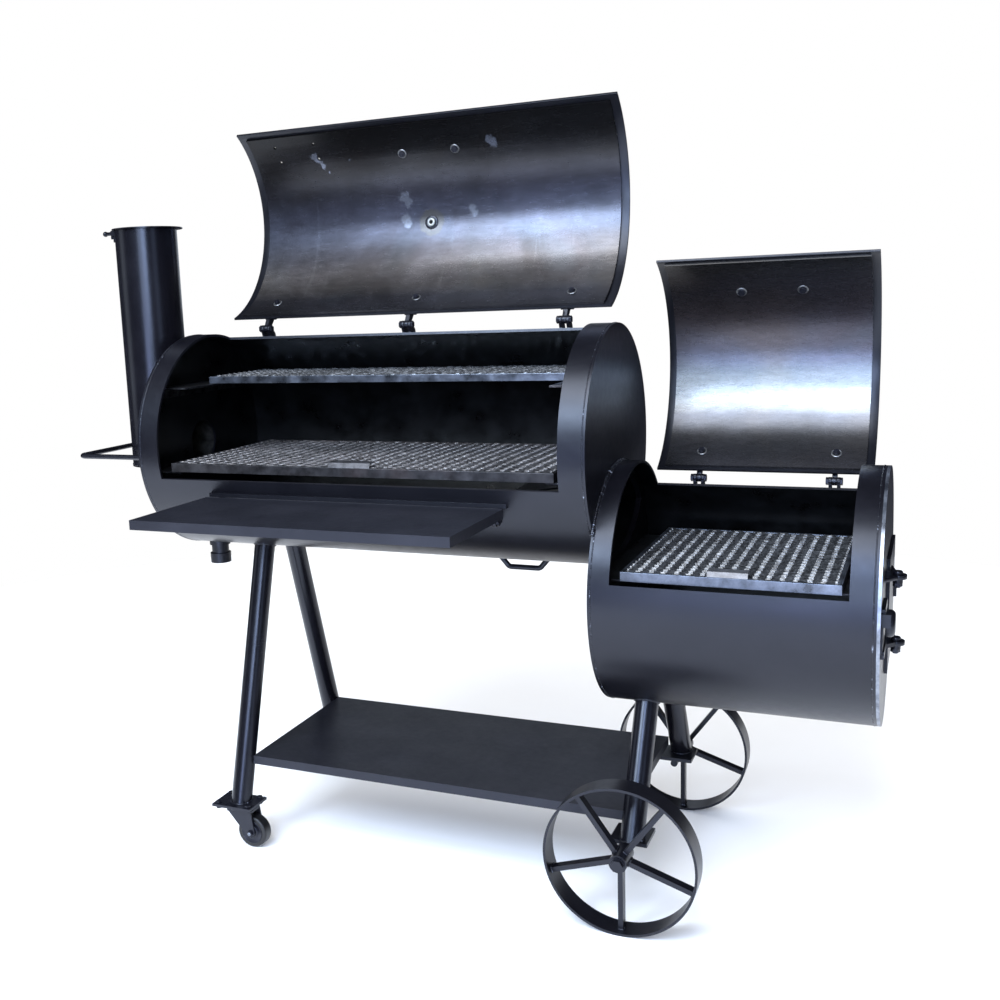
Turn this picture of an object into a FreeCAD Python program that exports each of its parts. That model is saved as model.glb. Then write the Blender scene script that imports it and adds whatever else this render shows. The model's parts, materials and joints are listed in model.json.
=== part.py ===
"""Offset smoker: a horizontal barrel cooking chamber with a firebox on its end.

Millimetres, +Z up. X runs along the two barrels, from the smokestack end towards the firebox,
and the door side faces -Y. Sub-parts are designed about a datum on the floor, below the chamber's
axis at its right end plate. write() then moves them so that the origin is on the floor at the
centre of the smoker's footprint. Both curved doors are stored open, resting on their stops.

Angles on a barrel ("turn") are measured about its axis from straight up, positive towards the
door side (-Y) and negative towards the back.
"""
import FreeCAD, Part
import math
import os
from FreeCAD import Vector

# ---------------------------------------------------------------- driving dimensions (mm, degrees)
# Where the datum stands in the finished frame
ORIGIN_X, ORIGIN_Y = -362.5, -91.0

# Barrels, rolled from pipe of one size
BARREL_R, WALL = 254.0, 6.0
FIT_GAP = 0.6                       # doors stand this far off the barrels they lap over
CHAMBER_LENGTH, CHAMBER_Z = 1050.0, 928.5
FIREBOX_LENGTH, FIREBOX_Z = 525.0, 639.5

# Chamber opening and door
CHAMBER_COLLARS = (53.0, 55.0)      # full rings left of and right of the opening
CHAMBER_TURNS = (-16.8, 104.3)
MAIN_PIVOT_R, MAIN_PIVOT_TURN, MAIN_OPEN = 279.0, -20.9, 143.0
MAIN_HINGE_XS = (-905.0, -524.0, -143.0)
MAIN_HINGE_BOLT_TURN = -3.4
MAIN_HANDLE_X, MAIN_HANDLE_SPAN, MAIN_HANDLE_TURN = -511.0, 136.0, 85.4
BUNG_TURN, BUNG_R, BUNG_BORE_R = 46.0, 15.0, 6.5

# Firebox opening and lid
FIREBOX_COLLARS = (43.0, 47.0)
FIREBOX_TURNS = (-45.0, 79.1)
LID_PIVOT_R, LID_PIVOT_TURN, LID_OPEN = 276.0, -46.5, 107.0
LID_HINGE_XS = (130.0, 414.0)
LID_HINGE_BOLT_TURN = -33.5
LID_HANDLE_X, LID_HANDLE_SPAN, LID_HANDLE_TURN = 272.0, 128.0, 56.0

# Sealing strips on the doors: how far they lap over at the rear, front, left and right
MAIN_LAPS, LID_LAPS, RIM_WIDTH = (3.0, 12.0, 6.0, 15.0), (4.0, 5.0, 5.0, 14.0), 30.0
MAIN_SLACK_LEFT, LID_SLACK_LEFT = 16.0, 12.0

# Throat between the barrels, and the smoke outlet
THROAT_INSET = 24.0
OUTLET_Z, STUB_R, STUB_WALL = 924.0, 54.0, 3.0
STACK_X, STACK_R, STACK_WALL = -1172.0, 75.0, 3.0
STACK_BOTTOM, STACK_TOP = 866.0, 1440.0
CAP_R, CAP_THICK, CAP_PIVOT_X, CAP_PIVOT_Z = 85.0, 3.0, -1263.0, 1437.0

# Grease drain
DRAIN_X, DRAIN_R, DRAIN_WALL, DRAIN_BOTTOM = -1018.0, 21.0, 3.0, 617.0

# Grates (top surface heights, depths of the frames)
MESH_THICK, STRAND = 2.5, 4.0
LOWER_GRATE = dict(x=(-984.0, -72.0), y=(-222.0, 210.0), top=899.0, depth=20.0)
UPPER_GRATE = dict(x=(-975.0, -75.0), y=(-60.0, 184.0), top=1084.0, depth=16.0)
FIRE_TOP_GRATE = dict(x=(60.0, 465.0), y=(-230.0, 212.0), top=711.0, depth=19.0)
GRATE_BAR = 4.0
RAIL_THICK = 4.0

# Shelves
FRONT_SHELF = dict(x=(-875.0, -170.0), y=(-525.0, -249.0), top=829.0)
SHELF_SKIRT, SHEET = 20.0, 2.5
SHELF_PIVOT_Y, SHELF_PIVOT_Z = -262.0, 806.0
BOTTOM_SHELF = dict(x=(-820.7, 58.7), y=(-212.0, 212.0), top=208.7)

# Legs: centre lines as (x, half spread and height at the top, half spread and height lower down)
LEG_R, LEG_WALL = 24.15, 3.0
LEFT_LEG = dict(x=-845.0, high=(68.0, 674.5), low=(231.0, 127.0), foot=105.0)
RIGHT_LEG = dict(x=83.0, high=(119.0, 385.0), low=(263.0, 127.0), foot=168.7)

# Wagon wheels
WHEEL_X, WHEEL_R, RIM_THICK = 76.0, 152.7, 5.0
WHEEL_FACES = (276.0, 326.0)
SPOKES, SPOKE_THICK, SPOKE_WIDTH = 5, 10.0, 20.0
HUB_R, HUB_FACES, AXLE_R = 18.0, (271.5, 330.0), 8.0
RUNNING = 0.06                      # radial clearance of parts that turn on a pin

# Swivel casters
CASTER_X, CASTER_Y, CASTER_TRAIL = -850.0, 240.0, 38.0
CASTER_WHEEL_R, CASTER_WHEEL_WIDTH, CASTER_PLATE = 37.5, 28.0, (103.0, 75.0, 6.0)

# Firebox end door and air damper
END_DOOR_Y, END_DOOR_Z = (-62.0, 170.0), (500.0, 726.0)
ASH_DOORWAY_Y, ASH_DOORWAY_Z = (-44.0, 152.0), (518.0, 658.0)
END_PIVOT_X, END_PIVOT_Y, END_LUG_ZS = 552.0, -100.0, (576.0, 703.0)
DAMPER_Y, DAMPER_Z, AIR_HOLE_R = (-236.0, -136.0), (588.0, 664.0), 28.0
AIR_HOLE_Y = -190.0
KNOB_R, KNOB_Y, KNOB_Z = 25.0, -209.0, 642.0

# Hardware
PIN_R, EAR_GAP, EAR_THICK, KNUCKLE_R = 5.0, 5.5, 6.0, 9.0
BOLT_R, BOLT_HOLE_R = 4.0, 4.2
ROD_R = 6.0

X_AXIS, Y_AXIS, Z_AXIS = Vector(1, 0, 0), Vector(0, 1, 0), Vector(0, 0, 1)
PANEL_R = (BARREL_R + FIT_GAP - WALL, BARREL_R + FIT_GAP)
RIM_R = (PANEL_R[1], PANEL_R[1] + 5.0)
CHAMBER_RIGHT, CHAMBER_LEFT = 0.0, -CHAMBER_LENGTH
PLATE_XS = (FIREBOX_LENGTH - WALL, FIREBOX_LENGTH, FIREBOX_LENGTH + WALL)


# ---------------------------------------------------------------- helpers
def write(name, *shapes):
    """Move the shapes into the finished frame and write them as one sub-part."""
    shape = shapes[0] if len(shapes) == 1 else Part.Compound(list(shapes))
    shape = shape.copy()
    shape.translate(Vector(-ORIGIN_X, -ORIGIN_Y, 0))
    shape.exportStep("parts/%s.step" % name)


def box(x, y, z):
    """Box from three (low, high) pairs."""
    return Part.makeBox(x[1] - x[0], y[1] - y[0], z[1] - z[0], Vector(x[0], y[0], z[0]))


def rod(start, end, radius):
    """Round bar between two points."""
    start, end = Vector(*start), Vector(*end)
    return Part.makeCylinder(radius, (end - start).Length, start, end - start)


def tube(start, end, outer, inner):
    """Round tube between two points."""
    return rod(start, end, outer).cut(rod(start, end, inner))


def hexagon(start, axis, across, length):
    """Hexagonal bolt head or nut that grows from start along axis."""
    radius = across / math.sqrt(3)
    angles = [math.radians(60 * i) for i in range(6)]
    corners = [Vector(radius * math.cos(angle), radius * math.sin(angle), 0) for angle in angles]
    solid = Part.Face(Part.makePolygon(corners + corners[:1])).extrude(Vector(0, 0, length))
    solid.Placement = FreeCAD.Placement(Vector(*start), FreeCAD.Rotation(Z_AXIS, Vector(*axis)))
    return solid


def extrude_yz(points, x):
    """Plate with a polygon outline in the YZ plane, between two x values."""
    corners = [Vector(x[0], y, z) for y, z in points]
    return Part.Face(Part.makePolygon(corners + corners[:1])).extrude(Vector(x[1] - x[0], 0, 0))


def extrude_xy(points, z):
    """Plate with a polygon outline in the XY plane, between two heights."""
    corners = [Vector(x, y, z[0]) for x, y in points]
    return Part.Face(Part.makePolygon(corners + corners[:1])).extrude(Vector(0, 0, z[1] - z[0]))


def turned(shape, turn, axis_z):
    """Copy of a shape turned about a barrel's axis."""
    shape = shape.copy()
    shape.rotate(Vector(0, 0, axis_z), X_AXIS, turn)
    return shape


def curved(radii, x, turns, axis_z):
    """Part of a barrel's wall: a ring sector between two turns."""
    inner, outer = radii
    corners = [Vector(x[0], 0, axis_z + inner), Vector(x[1], 0, axis_z + inner),
               Vector(x[1], 0, axis_z + outer), Vector(x[0], 0, axis_z + outer)]
    face = Part.Face(Part.makePolygon(corners + corners[:1]))
    sector = face.revolve(Vector(0, 0, axis_z), X_AXIS, turns[1] - turns[0])
    return turned(sector, turns[0], axis_z)


def radial(x, turn, reach, radius, axis_z):
    """Round bar that stands on a barrel's axis, between two distances from it."""
    bar = rod((x, 0, axis_z + reach[0]), (x, 0, axis_z + reach[1]), radius)
    return turned(bar, turn, axis_z)


def nut_seat(inner, across):
    """Distance from the axis at which a flat nut's corners meet the inside of a curved wall."""
    return math.sqrt(inner ** 2 - across ** 2 / 3) - 0.02


def radial_bolt(x, turn, inner, outer, axis_z):
    """Bolt through a barrel's wall: head outside, nut inside."""
    shank = rod((x, 0, axis_z + inner - 8), (x, 0, axis_z + outer), BOLT_R)
    head = hexagon((x, 0, axis_z + outer), (0, 0, 1), 13, 5)
    nut = hexagon((x, 0, axis_z + nut_seat(inner, 13)), (0, 0, -1), 13, 6)
    return turned(shank.fuse([head, nut]), turn, axis_z)


def pivot_point(radius, turn, axis_z):
    """Where a door's pivot crosses the YZ plane."""
    angle = math.radians(turn)
    return Vector(0, -radius * math.sin(angle), axis_z + radius * math.cos(angle))


def opened(shape, radius, turn, axis_z, angle):
    """Copy of a closed door's shape, swung open about its pivot."""
    shape = shape.copy()
    shape.rotate(pivot_point(radius, turn, axis_z), X_AXIS, -angle)
    return shape


def barrel_solid(x, axis_z, radius=BARREL_R):
    """Solid cylinder that fills a barrel."""
    return rod((x[0], 0, axis_z), (x[1], 0, axis_z), radius)


def bent_rod(points, bend, radius):
    """Round bar along straight runs joined by bends of one radius."""
    points = [Vector(*p) for p in points]
    edges, start = [], points[0]
    for before, corner, after in zip(points, points[1:], points[2:]):
        to_before, to_after = (before - corner).normalize(), (after - corner).normalize()
        half = to_before.getAngle(to_after) / 2
        reach = bend / math.tan(half)
        middle = (to_before + to_after).normalize() * (bend / math.sin(half) - bend) + corner
        enter, leave = corner + to_before * reach, corner + to_after * reach
        edges.append(Part.LineSegment(start, enter).toShape())
        edges.append(Part.Arc(enter, middle, leave).toShape())
        start = leave
    edges.append(Part.LineSegment(start, points[-1]).toShape())
    section = Part.Wire(Part.Circle(points[0], points[1] - points[0], radius).toShape())
    return Part.Wire(edges).makePipeShell([section], True, False)


# ---------------------------------------------------------------- barrels
def chamber_shell():
    x = (CHAMBER_LEFT + WALL, CHAMBER_RIGHT - WALL)
    shell = tube((x[0], 0, CHAMBER_Z), (x[1], 0, CHAMBER_Z), BARREL_R, BARREL_R - WALL)
    doorway = (CHAMBER_LEFT + CHAMBER_COLLARS[0], CHAMBER_RIGHT - CHAMBER_COLLARS[1])
    shell = shell.cut(curved((BARREL_R - 30, BARREL_R + 30), doorway, CHAMBER_TURNS, CHAMBER_Z))
    return shell.cut(rod((DRAIN_X, 0, 600), (DRAIN_X, 0, 720), DRAIN_R - DRAIN_WALL))


def throat():
    """Lens-shaped passage where the two barrels lap."""
    x = (CHAMBER_RIGHT - 2 * WALL, CHAMBER_RIGHT + 2 * WALL)
    upper = barrel_solid(x, CHAMBER_Z, BARREL_R - THROAT_INSET)
    return upper.common(barrel_solid(x, FIREBOX_Z, BARREL_R - THROAT_INSET))


def chamber_end_left():
    x = (CHAMBER_LEFT, CHAMBER_LEFT + WALL)
    outlet = rod((x[0] - 5, 0, OUTLET_Z), (x[1] + 5, 0, OUTLET_Z), STUB_R - STUB_WALL)
    return barrel_solid(x, CHAMBER_Z).cut(outlet)


def chamber_end_right():
    return barrel_solid((CHAMBER_RIGHT - WALL, CHAMBER_RIGHT), CHAMBER_Z).cut(throat())


def firebox_shell():
    x = (WALL, PLATE_XS[0])
    shell = tube((x[0], 0, FIREBOX_Z), (x[1], 0, FIREBOX_Z), BARREL_R, BARREL_R - WALL)
    doorway = (FIREBOX_COLLARS[0], FIREBOX_LENGTH - FIREBOX_COLLARS[1])
    return shell.cut(curved((BARREL_R - 30, BARREL_R + 30), doorway, FIREBOX_TURNS, FIREBOX_Z))


def firebox_end_left():
    return barrel_solid((0, WALL), FIREBOX_Z).cut(throat())


def end_plate(x):
    """Round plate on the firebox's outer end, with the ash doorway and the air hole."""
    doorway = box((x[0] - 1, x[1] + 1), ASH_DOORWAY_Y, ASH_DOORWAY_Z)
    air_z = sum(DAMPER_Z) / 2
    air_hole = rod((x[0] - 1, AIR_HOLE_Y, air_z), (x[1] + 1, AIR_HOLE_Y, air_z), AIR_HOLE_R)
    return barrel_solid(x, FIREBOX_Z).cut([doorway, air_hole])


def throat_baffle():
    """Sloped plate from the grate rail, which turns the fire's draught down and along the chamber."""
    start = CHAMBER_RIGHT - WALL - RAIL_THICK
    outline = [(start, 872.0), (start, 868.0), (-190.0, 842.0), (-190.0, 846.0)]
    corners = [Vector(x, -165, z) for x, z in outline]
    return Part.Face(Part.makePolygon(corners + corners[:1])).extrude(Vector(0, 330, 0))


# ---------------------------------------------------------------- smokestack and drain
def smokestack():
    pipe = tube((STACK_X, 0, STACK_BOTTOM), (STACK_X, 0, STACK_TOP), STACK_R, STACK_R - STACK_WALL)
    return pipe.cut(rod((STACK_X, 0, OUTLET_Z), (CHAMBER_LEFT, 0, OUTLET_Z), STUB_R - STUB_WALL))


def stack_base():
    return rod((STACK_X, 0, STACK_BOTTOM - 4), (STACK_X, 0, STACK_BOTTOM), STACK_R + 1)


def stack_stub():
    stub = tube((STACK_X, 0, OUTLET_Z), (CHAMBER_LEFT, 0, OUTLET_Z), STUB_R, STUB_R - STUB_WALL)
    return stub.cut(rod((STACK_X, 0, STACK_BOTTOM - 9), (STACK_X, 0, STACK_TOP), STACK_R))


def stack_cap_lugs():
    """Pair of ears on the stack's side, and the cap's pivot pin between them."""
    shapes = []
    for side in (-1, 1):
        y = sorted((side * 6.5, side * 11.5))
        ear = box((CAP_PIVOT_X, STACK_X), y, (CAP_PIVOT_Z - 22, CAP_PIVOT_Z - 2))
        ear = ear.fuse(rod((CAP_PIVOT_X, y[0], CAP_PIVOT_Z), (CAP_PIVOT_X, y[1], CAP_PIVOT_Z), 7))
        ear = ear.fuse(box((CAP_PIVOT_X - 7, CAP_PIVOT_X + 7), y, (CAP_PIVOT_Z - 14, CAP_PIVOT_Z)))
        ear = ear.cut(rod((STACK_X, 0, STACK_BOTTOM), (STACK_X, 0, STACK_TOP + 9), STACK_R))
        shapes.append(ear.cut(rod((CAP_PIVOT_X, -20, CAP_PIVOT_Z), (CAP_PIVOT_X, 20, CAP_PIVOT_Z), 4)))
    pin = rod((CAP_PIVOT_X, -14, CAP_PIVOT_Z), (CAP_PIVOT_X, 14, CAP_PIVOT_Z), 4)
    for side in (-1, 1):
        near, far = side * 11.5, side * 15.5
        pin = pin.fuse(rod((CAP_PIVOT_X, near, CAP_PIVOT_Z), (CAP_PIVOT_X, far, CAP_PIVOT_Z), 6.5))
    return shapes + [pin]


def stack_cap():
    """Disc that lies on the stack's mouth, with its knuckle and its lever."""
    low = STACK_TOP + 0.5
    disc = rod((STACK_X + 5, 0, low), (STACK_X + 5, 0, low + CAP_THICK), CAP_R)
    strap = box((CAP_PIVOT_X, STACK_X), (-6, 6), (low, low + CAP_THICK + 3))
    knuckle = rod((CAP_PIVOT_X, -6, CAP_PIVOT_Z), (CAP_PIVOT_X, 6, CAP_PIVOT_Z), 7)
    lever_tip = (CAP_PIVOT_X - 32, 0, CAP_PIVOT_Z)
    lever = rod((CAP_PIVOT_X, 0, CAP_PIVOT_Z), lever_tip, 4.5)
    cap = disc.fuse([strap, knuckle, lever, Part.makeSphere(6.5, Vector(*lever_tip))])
    return cap.cut(rod((CAP_PIVOT_X, -9, CAP_PIVOT_Z), (CAP_PIVOT_X, 9, CAP_PIVOT_Z), 4 + RUNNING))


def drain_pipe():
    """Pipe below the chamber's left end, with a socket at its mouth and a collar at its root."""
    bore = DRAIN_R - DRAIN_WALL
    pipe = tube((DRAIN_X, 0, DRAIN_BOTTOM), (DRAIN_X, 0, 700), DRAIN_R, bore)
    socket = tube((DRAIN_X, 0, DRAIN_BOTTOM), (DRAIN_X, 0, DRAIN_BOTTOM + 24), DRAIN_R + 4.5, bore)
    collar = tube((DRAIN_X, 0, 662), (DRAIN_X, 0, 690), DRAIN_R + 4.5, bore)
    whole = pipe.fuse([socket, collar])
    return whole.cut(barrel_solid((CHAMBER_LEFT, CHAMBER_RIGHT), CHAMBER_Z))


# ---------------------------------------------------------------- rod handles
def end_handle():
    """U-shaped push handle that loops round the stack from the left end plate."""
    z, y, x = 907.0, 200.0, -1269.0
    return bent_rod([(CHAMBER_LEFT, -y, z), (x, -y, z), (x, y, z), (CHAMBER_LEFT, y, z)], 22.0, ROD_R)


def under_handle():
    """Lifting handle below the chamber's right end."""
    points = [(-284, 0, 690), (-250, 0, 650), (-178, 0, 650), (-144, 0, 690)]
    return bent_rod(points, 12.0, ROD_R).cut(barrel_solid((CHAMBER_LEFT, CHAMBER_RIGHT), CHAMBER_Z))


# ---------------------------------------------------------------- legs, shelf, feet
def leg(plan, side, axis_z):
    """Splayed pipe leg, cut to the barrel above and level at its foot."""
    slope = (plan["low"][0] - plan["high"][0]) / (plan["high"][1] - plan["low"][1])
    top_z, foot_z = plan["high"][1] + 60, plan["foot"] - 40
    top = (plan["x"], side * (plan["high"][0] - slope * 60), top_z)
    foot = (plan["x"], side * (plan["low"][0] + slope * (plan["low"][1] - foot_z)), foot_z)
    pipe = tube(foot, top, LEG_R, LEG_R - LEG_WALL)
    below = box((plan["x"] - 60, plan["x"] + 60), (-400, 400), (0, plan["foot"]))
    return pipe.cut([below, barrel_solid((plan["x"] - 60, plan["x"] + 60), axis_z)])


def tray(size, skirt):
    """Sheet shelf with a skirt folded down on every side."""
    x, y, top = size["x"], size["y"], size["top"]
    outer = box(x, y, (top - skirt, top))
    inner = box((x[0] + SHEET, x[1] - SHEET), (y[0] + SHEET, y[1] - SHEET), (top - skirt - 1, top - SHEET))
    return outer.cut(inner)


def caster_plates():
    length, width, thick = CASTER_PLATE
    top = LEFT_LEG["foot"]
    plates = []
    for side in (-1, 1):
        y = side * CASTER_Y
        across = (y - width / 2, y + width / 2)
        plate = box((CASTER_X - length / 2, CASTER_X + length / 2), across, (top - thick, top))
        for x, hole_y in caster_bolt_places(side):
            plate = plate.cut(rod((x, hole_y, top - thick), (x, hole_y, top), BOLT_HOLE_R))
        plates.append(plate.cut(rod((CASTER_X, y, top - thick), (CASTER_X, y, top - 2), 8.0)))
    return plates


def caster_bolt_places(side):
    return [(CASTER_X + dx, side * CASTER_Y + dy) for dx in (-39, 39) for dy in (-26, 26)]


def caster_plate_bolts():
    top, bolts = LEFT_LEG["foot"], []
    for side in (-1, 1):
        for x, y in caster_bolt_places(side):
            shank = rod((x, y, top - 13), (x, y, top + 5), BOLT_R)
            head = hexagon((x, y, top), (0, 0, 1), 13, 5)
            bolts.append(shank.fuse([head, hexagon((x, y, top - CASTER_PLATE[2]), (0, 0, -1), 13, 6)]))
    return bolts


def caster_fork(side):
    """Swivelling fork with its king pin, which turns in the plate above."""
    y, top = side * CASTER_Y, LEFT_LEG["foot"] - CASTER_PLATE[2]
    wheel_x = CASTER_X + CASTER_TRAIL
    race = rod((CASTER_X, y, top - 10), (CASTER_X, y, top - 0.4), 24)
    pin = rod((CASTER_X, y, top - 3), (CASTER_X, y, top + CASTER_PLATE[2] - 2.4), 8.0 - RUNNING)
    crown = box((CASTER_X - 22, wheel_x + 4), (y - 21, y + 21), (top - 14, top - 9))
    fork = race.fuse([pin, crown])
    for face in (-1, 1):
        across = sorted((y + face * 17, y + face * 21))
        outline = [(CASTER_X - 22, top - 10), (wheel_x + 4, top - 10), (wheel_x + 12, CASTER_WHEEL_R),
                   (wheel_x + 6, CASTER_WHEEL_R - 10), (wheel_x - 6, CASTER_WHEEL_R - 10)]
        corners = [Vector(x, across[0], z) for x, z in outline]
        cheek = Part.Face(Part.makePolygon(corners + corners[:1])).extrude(Vector(0, 4, 0))
        fork = fork.fuse(cheek)
    fork = fork.fuse(rod((wheel_x, y - 24, CASTER_WHEEL_R), (wheel_x, y + 24, CASTER_WHEEL_R), 5))
    nuts = [hexagon((wheel_x, y + face * 21, CASTER_WHEEL_R), (0, face, 0), 13, 5) for face in (-1, 1)]
    return fork.fuse(nuts)


def caster_wheel(side):
    """Solid wheel with rounded tread corners, bored for the fork's axle."""
    x, y, half = CASTER_X + CASTER_TRAIL, side * CASTER_Y, CASTER_WHEEL_WIDTH / 2
    wheel = rod((x, y - half, CASTER_WHEEL_R), (x, y + half, CASTER_WHEEL_R), CASTER_WHEEL_R)
    rims = [edge for edge in wheel.Edges if isinstance(edge.Curve, Part.Circle)]
    wheel = wheel.makeFillet(5.0, rims)
    wheel = wheel.fuse(rod((x, y - half - 2, CASTER_WHEEL_R), (x, y + half + 2, CASTER_WHEEL_R), 13))
    return wheel.cut(rod((x, y - 30, CASTER_WHEEL_R), (x, y + 30, CASTER_WHEEL_R), 5 + RUNNING))


# ---------------------------------------------------------------- wagon wheels
def axle_plates():
    low = WHEEL_R + AXLE_R
    return [box((WHEEL_X - 35, WHEEL_X + 41), sorted((side * 184, side * 260)), (low, RIGHT_LEG["foot"]))
            for side in (-1, 1)]


def wheel_axles():
    """Stub axles below the plates, each with a fixed collar inside and a nut outside the wheel."""
    axles = []
    for side in (-1, 1):
        inside, outside = HUB_FACES[0] - 0.5, HUB_FACES[1] + 0.5
        axle = rod((WHEEL_X, side * 190, WHEEL_R), (WHEEL_X, side * (outside + 9), WHEEL_R), AXLE_R)
        washer = rod((WHEEL_X, side * outside, WHEEL_R), (WHEEL_X, side * (outside + 2), WHEEL_R), 14)
        nut = hexagon((WHEEL_X, side * (outside + 2), WHEEL_R), (0, side, 0), 22, 8)
        collar = rod((WHEEL_X, side * (inside - 8), WHEEL_R), (WHEEL_X, side * inside, WHEEL_R), 13)
        axles.append(axle.fuse([washer, nut, collar]))
    return axles


def wagon_wheel(side):
    """Flat-rimmed spoked wheel."""
    near, far = (side * face for face in WHEEL_FACES)
    rim = tube((WHEEL_X, near, WHEEL_R), (WHEEL_X, far, WHEEL_R), WHEEL_R, WHEEL_R - RIM_THICK)
    middle = (near + far) / 2
    parts = [rod((WHEEL_X, side * HUB_FACES[0], WHEEL_R), (WHEEL_X, side * HUB_FACES[1], WHEEL_R), HUB_R)]
    for i in range(SPOKES):
        spoke = box((WHEEL_X - SPOKE_THICK / 2, WHEEL_X + SPOKE_THICK / 2),
                    (middle - SPOKE_WIDTH / 2, middle + SPOKE_WIDTH / 2),
                    (WHEEL_R + HUB_R - 3, 2 * WHEEL_R - RIM_THICK + 1))
        spoke.rotate(Vector(WHEEL_X, 0, WHEEL_R), Y_AXIS, 36 + 360 / SPOKES * i)
        parts.append(spoke)
    wheel = rim.fuse(parts)
    return wheel.cut(rod((WHEEL_X, -400, WHEEL_R), (WHEEL_X, 400, WHEEL_R), AXLE_R + RUNNING))


# ---------------------------------------------------------------- front shelf
def front_shelf():
    """Folding sheet shelf with an ear at each end that hangs on a pivot bolt."""
    shelf = tray(FRONT_SHELF, SHELF_SKIRT)
    top = FRONT_SHELF["top"]
    for x in (FRONT_SHELF["x"][0] + 8, FRONT_SHELF["x"][1] - 13):
        y = (SHELF_PIVOT_Y - 11, SHELF_PIVOT_Y + 11)
        ear = box((x, x + 5), (y[0], FRONT_SHELF["y"][1] - SHEET), (SHELF_PIVOT_Z, top - SHEET))
        ear = ear.fuse(rod((x, SHELF_PIVOT_Y, SHELF_PIVOT_Z), (x + 5, SHELF_PIVOT_Y, SHELF_PIVOT_Z), 11))
        ear = ear.fuse(box((x, x + 5), y, (SHELF_PIVOT_Z, top - SHEET)))
        shelf = shelf.fuse(ear)
    back = (FRONT_SHELF["y"][1] - 2 * SHEET, FRONT_SHELF["y"][1] + SHEET)
    height = (SHELF_PIVOT_Z - 12, SHELF_PIVOT_Z + 14)
    notches = [box((low - 3, low + 9), back, height) for low in bracket_places()]
    bore = rod((-2000, SHELF_PIVOT_Y, SHELF_PIVOT_Z), (2000, SHELF_PIVOT_Y, SHELF_PIVOT_Z), PIN_R + RUNNING)
    return shelf.cut(notches + [bore])


def bracket_places():
    return (FRONT_SHELF["x"][0] + 14, FRONT_SHELF["x"][1] - 20)


def shelf_brackets():
    """Rail along the chamber behind the shelf, and a bracket at each end for the pivot bolts."""
    barrel = barrel_solid((CHAMBER_LEFT, CHAMBER_RIGHT), CHAMBER_Z)
    x = FRONT_SHELF["x"]
    rail = box((x[0] + 6, x[1] + 6), (-246, -225), (829, 838)).cut(barrel)
    shapes = [rail]
    for low in bracket_places():
        y, z = SHELF_PIVOT_Y, SHELF_PIVOT_Z
        bracket = box((low, low + 6), (y, -200), (z - 11, z + 11))
        bracket = bracket.fuse(rod((low, y, z), (low + 6, y, z), 11))
        bore = rod((low - 1, y, z), (low + 7, y, z), PIN_R)
        shapes.append(bracket.cut([barrel, bore]))
    return shapes


def shelf_bolts():
    """Pivot bolts through the shelf's ears and the brackets."""
    y, z, bolts = SHELF_PIVOT_Y, SHELF_PIVOT_Z, []
    left, right = FRONT_SHELF["x"][0] + 8, FRONT_SHELF["x"][1] - 20
    for low, high in ((left, left + 12), (right, right + 12)):
        shank = rod((low - 0.5, y, z), (high + 0.5, y, z), PIN_R)
        ends = [hexagon((low - 0.5, y, z), (-1, 0, 0), 16, 5), hexagon((high + 0.5, y, z), (1, 0, 0), 16, 5)]
        bolts.append(shank.fuse(ends))
    return bolts


# ---------------------------------------------------------------- curved doors
def hinge_lugs(xs, pivot_r, pivot_turn, axis_z):
    """Pairs of ears welded behind an opening, bored for the hinge pins."""
    z = axis_z + pivot_r
    root = axis_z + BARREL_R
    front = [(4, root - 14), (4, root + 8), (-8.2, z - 4)]
    rear = [(8.2, z + 4), (24, z - 3), (42, root), (38, root - 14)]
    outline = front + [(0, z)] + rear
    ears = []
    for x in xs:
        for side in (-1, 1):
            span = sorted((x + side * EAR_GAP, x + side * (EAR_GAP + EAR_THICK)))
            ear = extrude_yz(outline, span).fuse(rod((span[0], 0, z), (span[1], 0, z), KNUCKLE_R))
            ear = ear.cut([rod((span[0] - 1, 0, z), (span[1] + 1, 0, z), PIN_R),
                           barrel_solid((span[0] - 1, span[1] + 1), axis_z)])
            ears.append(turned(ear, pivot_turn, axis_z))
    return ears


def hinge_pins(xs, pivot_r, pivot_turn, axis_z):
    """One bolt with a nut for each pair of ears."""
    point, half, pins = pivot_point(pivot_r, pivot_turn, axis_z), EAR_GAP + EAR_THICK, []
    for x in xs:
        pin = rod((x - half, point.y, point.z), (x + half, point.y, point.z), PIN_R)
        head = hexagon((x + half, point.y, point.z), (1, 0, 0), 15, 5)
        nut = hexagon((x - half, point.y, point.z), (-1, 0, 0), 15, 6)
        pins.append(pin.fuse([head, nut]))
    return pins


def hinge_straps(xs, pivot_r, pivot_turn, bolt_turn, axis_z):
    """Straps on the closed door, each with a knuckle that turns on its hinge pin."""
    z, outer = axis_z + pivot_r, RIM_R[1]
    root = math.radians(8.5)
    arm = [(-(outer + 8) * math.sin(root), axis_z + (outer + 8) * math.cos(root)), (-3, z + KNUCKLE_R - 0.6),
           (0, z), (-3, z - KNUCKLE_R + 0.6), (-14, axis_z + outer + 0.5),
           (-outer * math.sin(root), axis_z + outer * math.cos(root))]
    straps = []
    for x in xs:
        knuckle = rod((x - EAR_GAP + 0.5, 0, z), (x + EAR_GAP - 0.5, 0, z), KNUCKLE_R)
        strap = extrude_yz(arm, (x - EAR_GAP + 0.5, x + EAR_GAP - 0.5)).fuse(knuckle)
        strap = strap.cut(rod((x - 9, 0, z), (x + 9, 0, z), PIN_R + RUNNING))
        strap = turned(strap, pivot_turn, axis_z)
        plate = curved((outer, outer + 7), (x - 15, x + 15), (pivot_turn + 6, bolt_turn + 4), axis_z)
        strap = strap.fuse(plate)
        straps.append(strap.cut(radial(x, bolt_turn, (200, 300), BOLT_HOLE_R, axis_z)))
    return straps


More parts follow.
